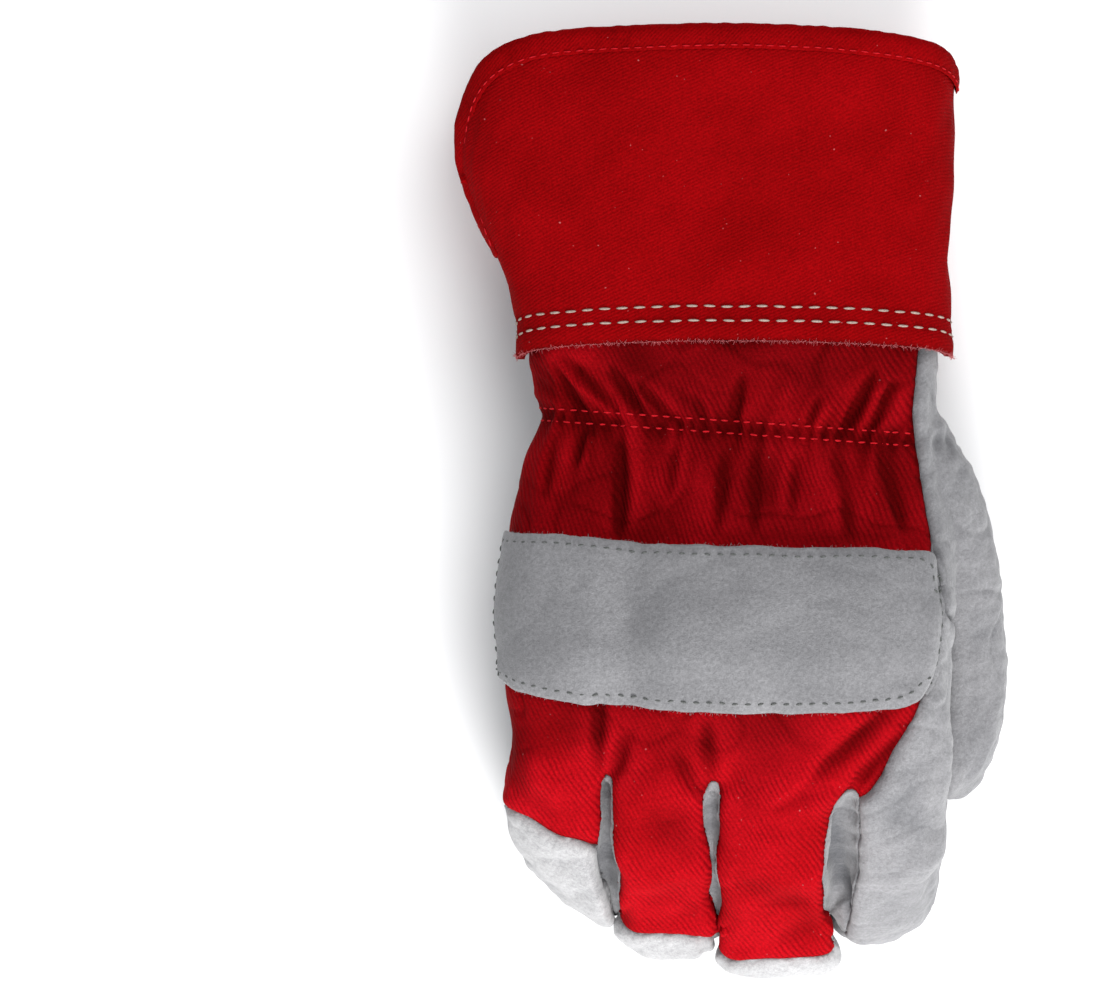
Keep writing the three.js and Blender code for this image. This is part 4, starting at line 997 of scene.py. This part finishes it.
# %% Tape over the cuff's edge
TAPE_SECTION = [  # millimetres outwards from the cuff's outer side, and beyond its edge
    (0.7, -4.6), (1.0, -4.2), (1.1, -2.5), (1.05, -0.8), (0.8, 0.5), (0.1, 1.3), (-1.0, 1.6),
    (-2.1, 1.3), (-2.8, 0.5), (-3.05, -0.8), (-3.1, -2.5), (-3.0, -4.2), (-2.7, -4.6), (-2.45, -4.0),
    (-2.5, -0.8), (-2.0, 0.4), (-1.0, 0.8), (0.0, 0.4), (0.5, -0.8), (0.45, -4.0),
]


def even(line, spacing):
    """A line with its points spaced evenly."""
    line = np.array(line)
    lengths = np.concatenate([[0], np.cumsum(np.linalg.norm(np.diff(line, axis=0), axis=1))])
    steps = np.linspace(0, lengths[-1], max(2, int(lengths[-1] / spacing) + 1))
    return np.stack([np.interp(steps, lengths, line[:, axis]) for axis in range(3)], 1)


def softened(line, rounds):
    """A line smoothed along itself, with its ends kept."""
    line = np.array(line)
    for _ in range(rounds):
        line[1:-1] += 0.5 * ((line[:-2] + line[2:]) / 2 - line[1:-1])
    return line


tape_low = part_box("cuff_binding")[0].y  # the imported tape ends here, low on the slit
edge_line = [places[i] for i in top if places[i][1] > tape_low + 2 * MM]
edge_line = softened(even(edge_line, 1.0 * MM), 6)[3:-3]
cuff_tree = tree_of(cuff_sheet)
outwards = np.array([cuff_tree.find_nearest(Vector(p))[1] for p in edge_line])
outwards[:5], outwards[-5:] = outwards[5], outwards[-6]
outwards = softened(outwards, 20)
along = np.gradient(edge_line, axis=0)
beyond = np.cross(along, outwards)
inner_middle = places.mean(0)
if ((edge_line - inner_middle) * beyond).sum() < 0:
    beyond = -beyond
outwards /= np.linalg.norm(outwards, axis=1)[:, None]
beyond /= np.linalg.norm(beyond, axis=1)[:, None]
if (outwards * (edge_line - np.array(CUFF_MIDDLE)) * [1, 0, 1]).sum() < 0:
    outwards = -outwards


def swept(name, line, out, over, section):
    """A closed section carried along a line, with both ends closed."""
    count = len(section)
    rings = [line + out * a * MM + over * b * MM for a, b in section]
    ring_points = np.stack(rings, 1).reshape(-1, 3)
    faces = []
    for k in range(len(line) - 1):
        for i in range(count):
            a, b = k * count + i, k * count + (i + 1) % count
            faces.append((a, b, b + count, a + count))
    shape = bmesh_of(new_mesh(name, ring_points, faces))
    bmesh.ops.holes_fill(shape, edges=[e for e in shape.edges if e.is_boundary], sides=0)
    bmesh.ops.recalc_face_normals(shape, faces=shape.faces)
    return mesh_from(shape, name)


tape = swept("tape", edge_line, outwards, beyond, TAPE_SECTION)
tape = baked(tape, ("SUBSURF", {"levels": 1, "render_levels": 1}))
tape_points = arrays(tape)[0]
uneven = normals(tape) * 0.08 * MM * waves(tape_points, 5, seed=41)[:, None]
set_points(tape, tape_points + uneven, keep_above_floor=True)
finished("dressed_cuff_binding", tape, "cuff_binding", binding_tape)

# %% [markdown]
# ## Vein patch and welt
# The patch guards the wrist on the palm side, and is laid over the cuff as the strap is over the
# knuckles. The welt is a folded strip of leather, caught in the seam across the roots of the two
# middle fingers, so it is a soft bead.

# %% Patch and welt
def under_wrist(middles, directions):
    return directions[:, 2] < -0.2


patch_faces = tidied(covered_by("vein_patch", cuff_sheet, under_wrist), face_pairs(cuff_sheet))
patch_sheet, patch_solid = overlay(cuff_sheet, "patch_sheet", patch_faces, 0.15, LEATHER, 4, roll_mm=0.1)
set_points(patch_solid, arrays(patch_solid)[0], keep_above_floor=True)
finished("dressed_vein_patch", patch_solid, "vein_patch", suede)

welt = remeshed(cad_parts["palm_welt"].data.copy(), 0.4 * MM)
welt_points, welt_edges = arrays(welt)
set_points(welt, relaxed(welt_points, welt_edges, 10))
finished("dressed_palm_welt", welt, "palm_welt", welt_leather)

# %% [markdown]
# ## Stitches
# A stitch is a short thread that comes out of one hole and goes into the next. One Geometry
# Nodes tree makes all of them: it spaces points evenly along a route, turns a small rounded
# thread along the route at each, and makes them real. A second tree stands loose fibres along
# torn edges in the same way, in every direction. The routes lie on the finished pieces.

# %% Trees that lay things along a route
def route_tree(name, kinds):
    """A node tree with the inputs that both trees share and some more of its own."""
    tree = bpy.data.node_groups.new(name, "GeometryNodeTree")
    shared = {"Route": "Geometry", "Spacing": "Float", "Length": "Float", "Thickness": "Float"}
    for socket, kind in (shared | kinds).items():
        tree.interface.new_socket(name=socket, in_out="INPUT", socket_type="NodeSocket" + kind)
    tree.interface.new_socket(name="Result", in_out="OUTPUT", socket_type="NodeSocketGeometry")
    return tree, tree.nodes.new("NodeGroupInput").outputs


def along_route(tree, inputs, shape, turn, sizes, material):
    """Copies of a shape on even points of the route, turned, scaled, made real and painted."""
    spaced = {"Curve": inputs["Route"], "Length": inputs["Spacing"]}
    points = add_node(tree, "GeometryNodeResampleCurve", spaced, mode="LENGTH")
    scale = add_node(tree, "ShaderNodeCombineXYZ", dict(zip("XYZ", sizes)))
    placed = add_node(tree, "GeometryNodeInstanceOnPoints", {
        "Points": points.outputs[0], "Instance": shape.outputs[0],
        "Rotation": turn.outputs[0], "Scale": scale.outputs[0],
    })
    real = add_node(tree, "GeometryNodeRealizeInstances", {"Geometry": placed.outputs[0]})
    painted = {"Geometry": real.outputs[0], "Material": material}
    painted = add_node(tree, "GeometryNodeSetMaterial", painted)
    tree.links.new(painted.outputs[0], tree.nodes.new("NodeGroupOutput").inputs[0])
    return tree


def stitch_tree():
    """Small beads that lie along the route, each turned aside a little by chance."""
    tree, inputs = route_tree("stitches", {"Turn": "Float", "Thread": "Material"})
    tangent = add_node(tree, "GeometryNodeInputTangent")
    ahead = {"Vector": tangent.outputs[0]}
    ahead = add_node(tree, "FunctionNodeAlignRotationToVector", ahead, axis="X")
    aside = {"Min": (0, 0, -1), "Max": (0, 0, 1), "Seed": 5}
    aside = add_node(tree, "FunctionNodeRandomValue", aside, data_type="FLOAT_VECTOR")
    aside = {0: aside.outputs[0], "Scale": inputs["Turn"]}
    aside = add_node(tree, "ShaderNodeVectorMath", aside, operation="SCALE")
    turn = {"Rotation": ahead.outputs[0], "Rotate By": aside.outputs[0]}
    turn = add_node(tree, "FunctionNodeRotateRotation", turn)
    bead = add_node(tree, "GeometryNodeMeshUVSphere", {"Segments": 8, "Rings": 5, "Radius": 0.5})
    sizes = (inputs["Length"], inputs["Thickness"], inputs["Thickness"])
    return along_route(tree, inputs, bead, turn, sizes, inputs["Thread"])


def fibre_tree():
    """Short loose fibres of different lengths that stand out in every direction."""
    tree, inputs = route_tree("fibres", {"Seed": "Int", "Fibre": "Material"})
    turn = {"Min": (-3.1,) * 3, "Max": (3.1,) * 3, "Seed": inputs["Seed"]}
    turn = add_node(tree, "FunctionNodeRandomValue", turn, data_type="FLOAT_VECTOR")
    share = {2: 0.35, 3: 1.0, "Seed": inputs["Seed"]}
    share = add_node(tree, "FunctionNodeRandomValue", share, data_type="FLOAT")
    long = {0: share.outputs[1], 1: inputs["Length"]}
    long = add_node(tree, "ShaderNodeMath", long, operation="MULTIPLY")
    hair = {"Vertices": 3, "Radius Top": 0.25, "Radius Bottom": 0.5, "Depth": 1.0}
    hair = add_node(tree, "GeometryNodeMeshCone", hair, fill_type="NONE")
    sizes = (inputs["Thickness"], inputs["Thickness"], long.outputs[0])
    return along_route(tree, inputs, hair, turn, sizes, inputs["Fibre"])


stitches, fibres = stitch_tree(), fibre_tree()


def route_curve(name, lines):
    curve = bpy.data.curves.new(name, "CURVE")
    curve.dimensions = "3D"
    for line in lines:
        spline = curve.splines.new("POLY")
        spline.points.add(len(line) - 1)
        spline.points.foreach_set("co", np.concatenate([line, np.ones((len(line), 1))], 1).ravel())
    return curve


def laid(tree, name, lines, slot, material, **values):
    """A piece that a tree lays along the lines."""
    holder = bpy.data.objects.new(name + "_route", route_curve(name + "_route", lines))
    scene.collection.objects.link(holder)
    modifier = holder.modifiers.new("laid", "NODES")
    modifier.node_group = tree
    for item in tree.interface.items_tree:
        if item.in_out == "INPUT" and item.name in values:
            modifier[item.identifier] = values[item.name]
    evaluated = holder.evaluated_get(bpy.context.evaluated_depsgraph_get())
    mesh = bpy.data.meshes.new_from_object(evaluated)
    bpy.data.objects.remove(holder)
    return finished(name, mesh, None, material)


def sewn(name, lines, material, slot, length, gap, thickness, turn=0.06):
    """Stitches with gaps between them, in millimetres. turn is how far they go aside."""
    laid(
        stitches, name, lines, slot, material, Spacing=(length + gap) * MM, Length=length * MM,
        Thickness=thickness * MM, Turn=turn, Thread=material,
    )


def frayed(name, line, material, slot, spacing, length, thickness, seed):
    """Loose fibres along one line, in millimetres."""
    laid(
        fibres, name, [line], slot, material, Spacing=spacing * MM, Length=length * MM,
        Thickness=thickness * MM, Seed=seed, Fibre=material,
    )


# %% Routes
def dropped(tree, line, sink_mm, from_above=True):
    """A line of x and y in millimetres, dropped onto a surface from above or raised from below."""
    flat_line = even([(px * MM, py * MM, 0) for px, py in line], 0.5 * MM)
    way = Vector((0, 0, -1 if from_above else 1))
    result = []
    for place in flat_line:
        start = Vector((place[0], place[1], 0.2 if from_above else -0.2))
        hit = tree.ray_cast(start, way)[0]
        if hit is not None:
            result.append(np.array(hit + way * sink_mm * MM))
    return softened(result, 3)


def along_sheet(sheet, line, inset_mm, lift_mm):
    """A line moved from a sheet's rim over the sheet, and lifted from it."""
    tree = tree_of(sheet)
    across = np.cross(np.gradient(line, axis=0), [tree.find_nearest(Vector(p))[1] for p in line])
    across /= np.maximum(np.linalg.norm(across, axis=1), 1e-9)[:, None]
    inwards = arrays(sheet)[0].mean(0) - line
    if (across * inwards).sum() < 0:
        across = -across
    result = []
    for place in line + across * inset_mm * MM:
        hit, normal, _, _ = tree.find_nearest(Vector(place))
        result.append(np.array(hit + normal * lift_mm * MM))
    return even(softened(result, 8), 0.5 * MM)


def closed_rim(sheet):
    loop_points = arrays(sheet)[0][rim_loop(sheet)]
    return softened(even([*loop_points, loop_points[0]], 1.0 * MM), 4)


hem_line = softened(even(places[hem], 1.0 * MM), 4)
hem_rows = [along_sheet(cuff_sheet, hem_line, row, 0.12) for row in HEM_ROWS]
sewn("hem_stitches", hem_rows, tan_thread, "cuff_canvas", 2.9, 1.2, 0.6)
tape_row = edge_line + outwards * 1.12 * MM - beyond * 3.6 * MM
sewn("tape_stitches", [tape_row[4:-4]], red_thread, "binding_tape", 2.0, 0.8, 0.35)
strap_row = along_sheet(strap_sheet, closed_rim(strap_sheet), 2.3, LEATHER / MM + 0.05)
sewn("strap_stitches", [strap_row], grey_thread, "split_leather", 1.5, 1.5, 0.55, 0.3)
patch_row = along_sheet(patch_sheet, closed_rim(patch_sheet), 2.3, LEATHER / MM + 0.02)
patch_row[:, 2] = np.maximum(patch_row[:, 2], 0.3 * MM)
sewn("patch_stitches", [patch_row], grey_thread, "split_leather", 1.5, 1.5, 0.5, 0.3)
back_tree = tree_of(bpy.data.objects["dressed_back_panel"].data)
elastic_x = np.arange(-45, 43, 3)
elastic_y = np.interp(elastic_x, ACROSS, [20.2, 14.2])
elastic_rows = [dropped(back_tree, zip(elastic_x, elastic_y - row), -0.05) for row in (0, 2.9)]
sewn("elastic_stitches", elastic_rows, red_thread, "back_canvas", 2.0, 0.9, 0.5, 0.1)
frayed("hem_fray", hem_line - np.array([0, 0.2 * MM, 0]), pink_thread, "cuff_canvas", 0.16, 1.1, 0.1, 3)
strap_edge = along_sheet(strap_sheet, closed_rim(strap_sheet), 0.1, 0.9)
frayed("strap_fuzz", strap_edge, pale_fibre, "split_leather", 0.18, 1.2, 0.09, 4)
THUMB_SEAM = [(28.5, 34), (36.6, 18.8), (43.6, 0), (46.8, -14), (49.4, -28), (50.6, -47), (51.0, -56)]
thumb_row = dropped(tree_of(skin), THUMB_SEAM, -0.05, from_above=False)
sewn("thumb_stitches", [thumb_row], grey_thread, "split_leather", 1.6, 1.6, 0.5)

# %% [markdown]
# ## Floor and the end
# The floor is one pale plane, wide enough for every view, and isn't part of the object.

# %% Floor
floor_finish = Finish("floor", roughness=0.9)
floor_finish.shader.inputs["Base Color"].default_value = (0.93, 0.93, 0.93, 1)
floor_points, floor_faces = plate((-3, -3, -0.02), (3, 3, -0.0002))
floor = bpy.data.objects.new("floor", new_mesh("floor", floor_points, floor_faces))
floor.data.materials.append(floor_finish.material)
scene.collection.objects.link(floor)
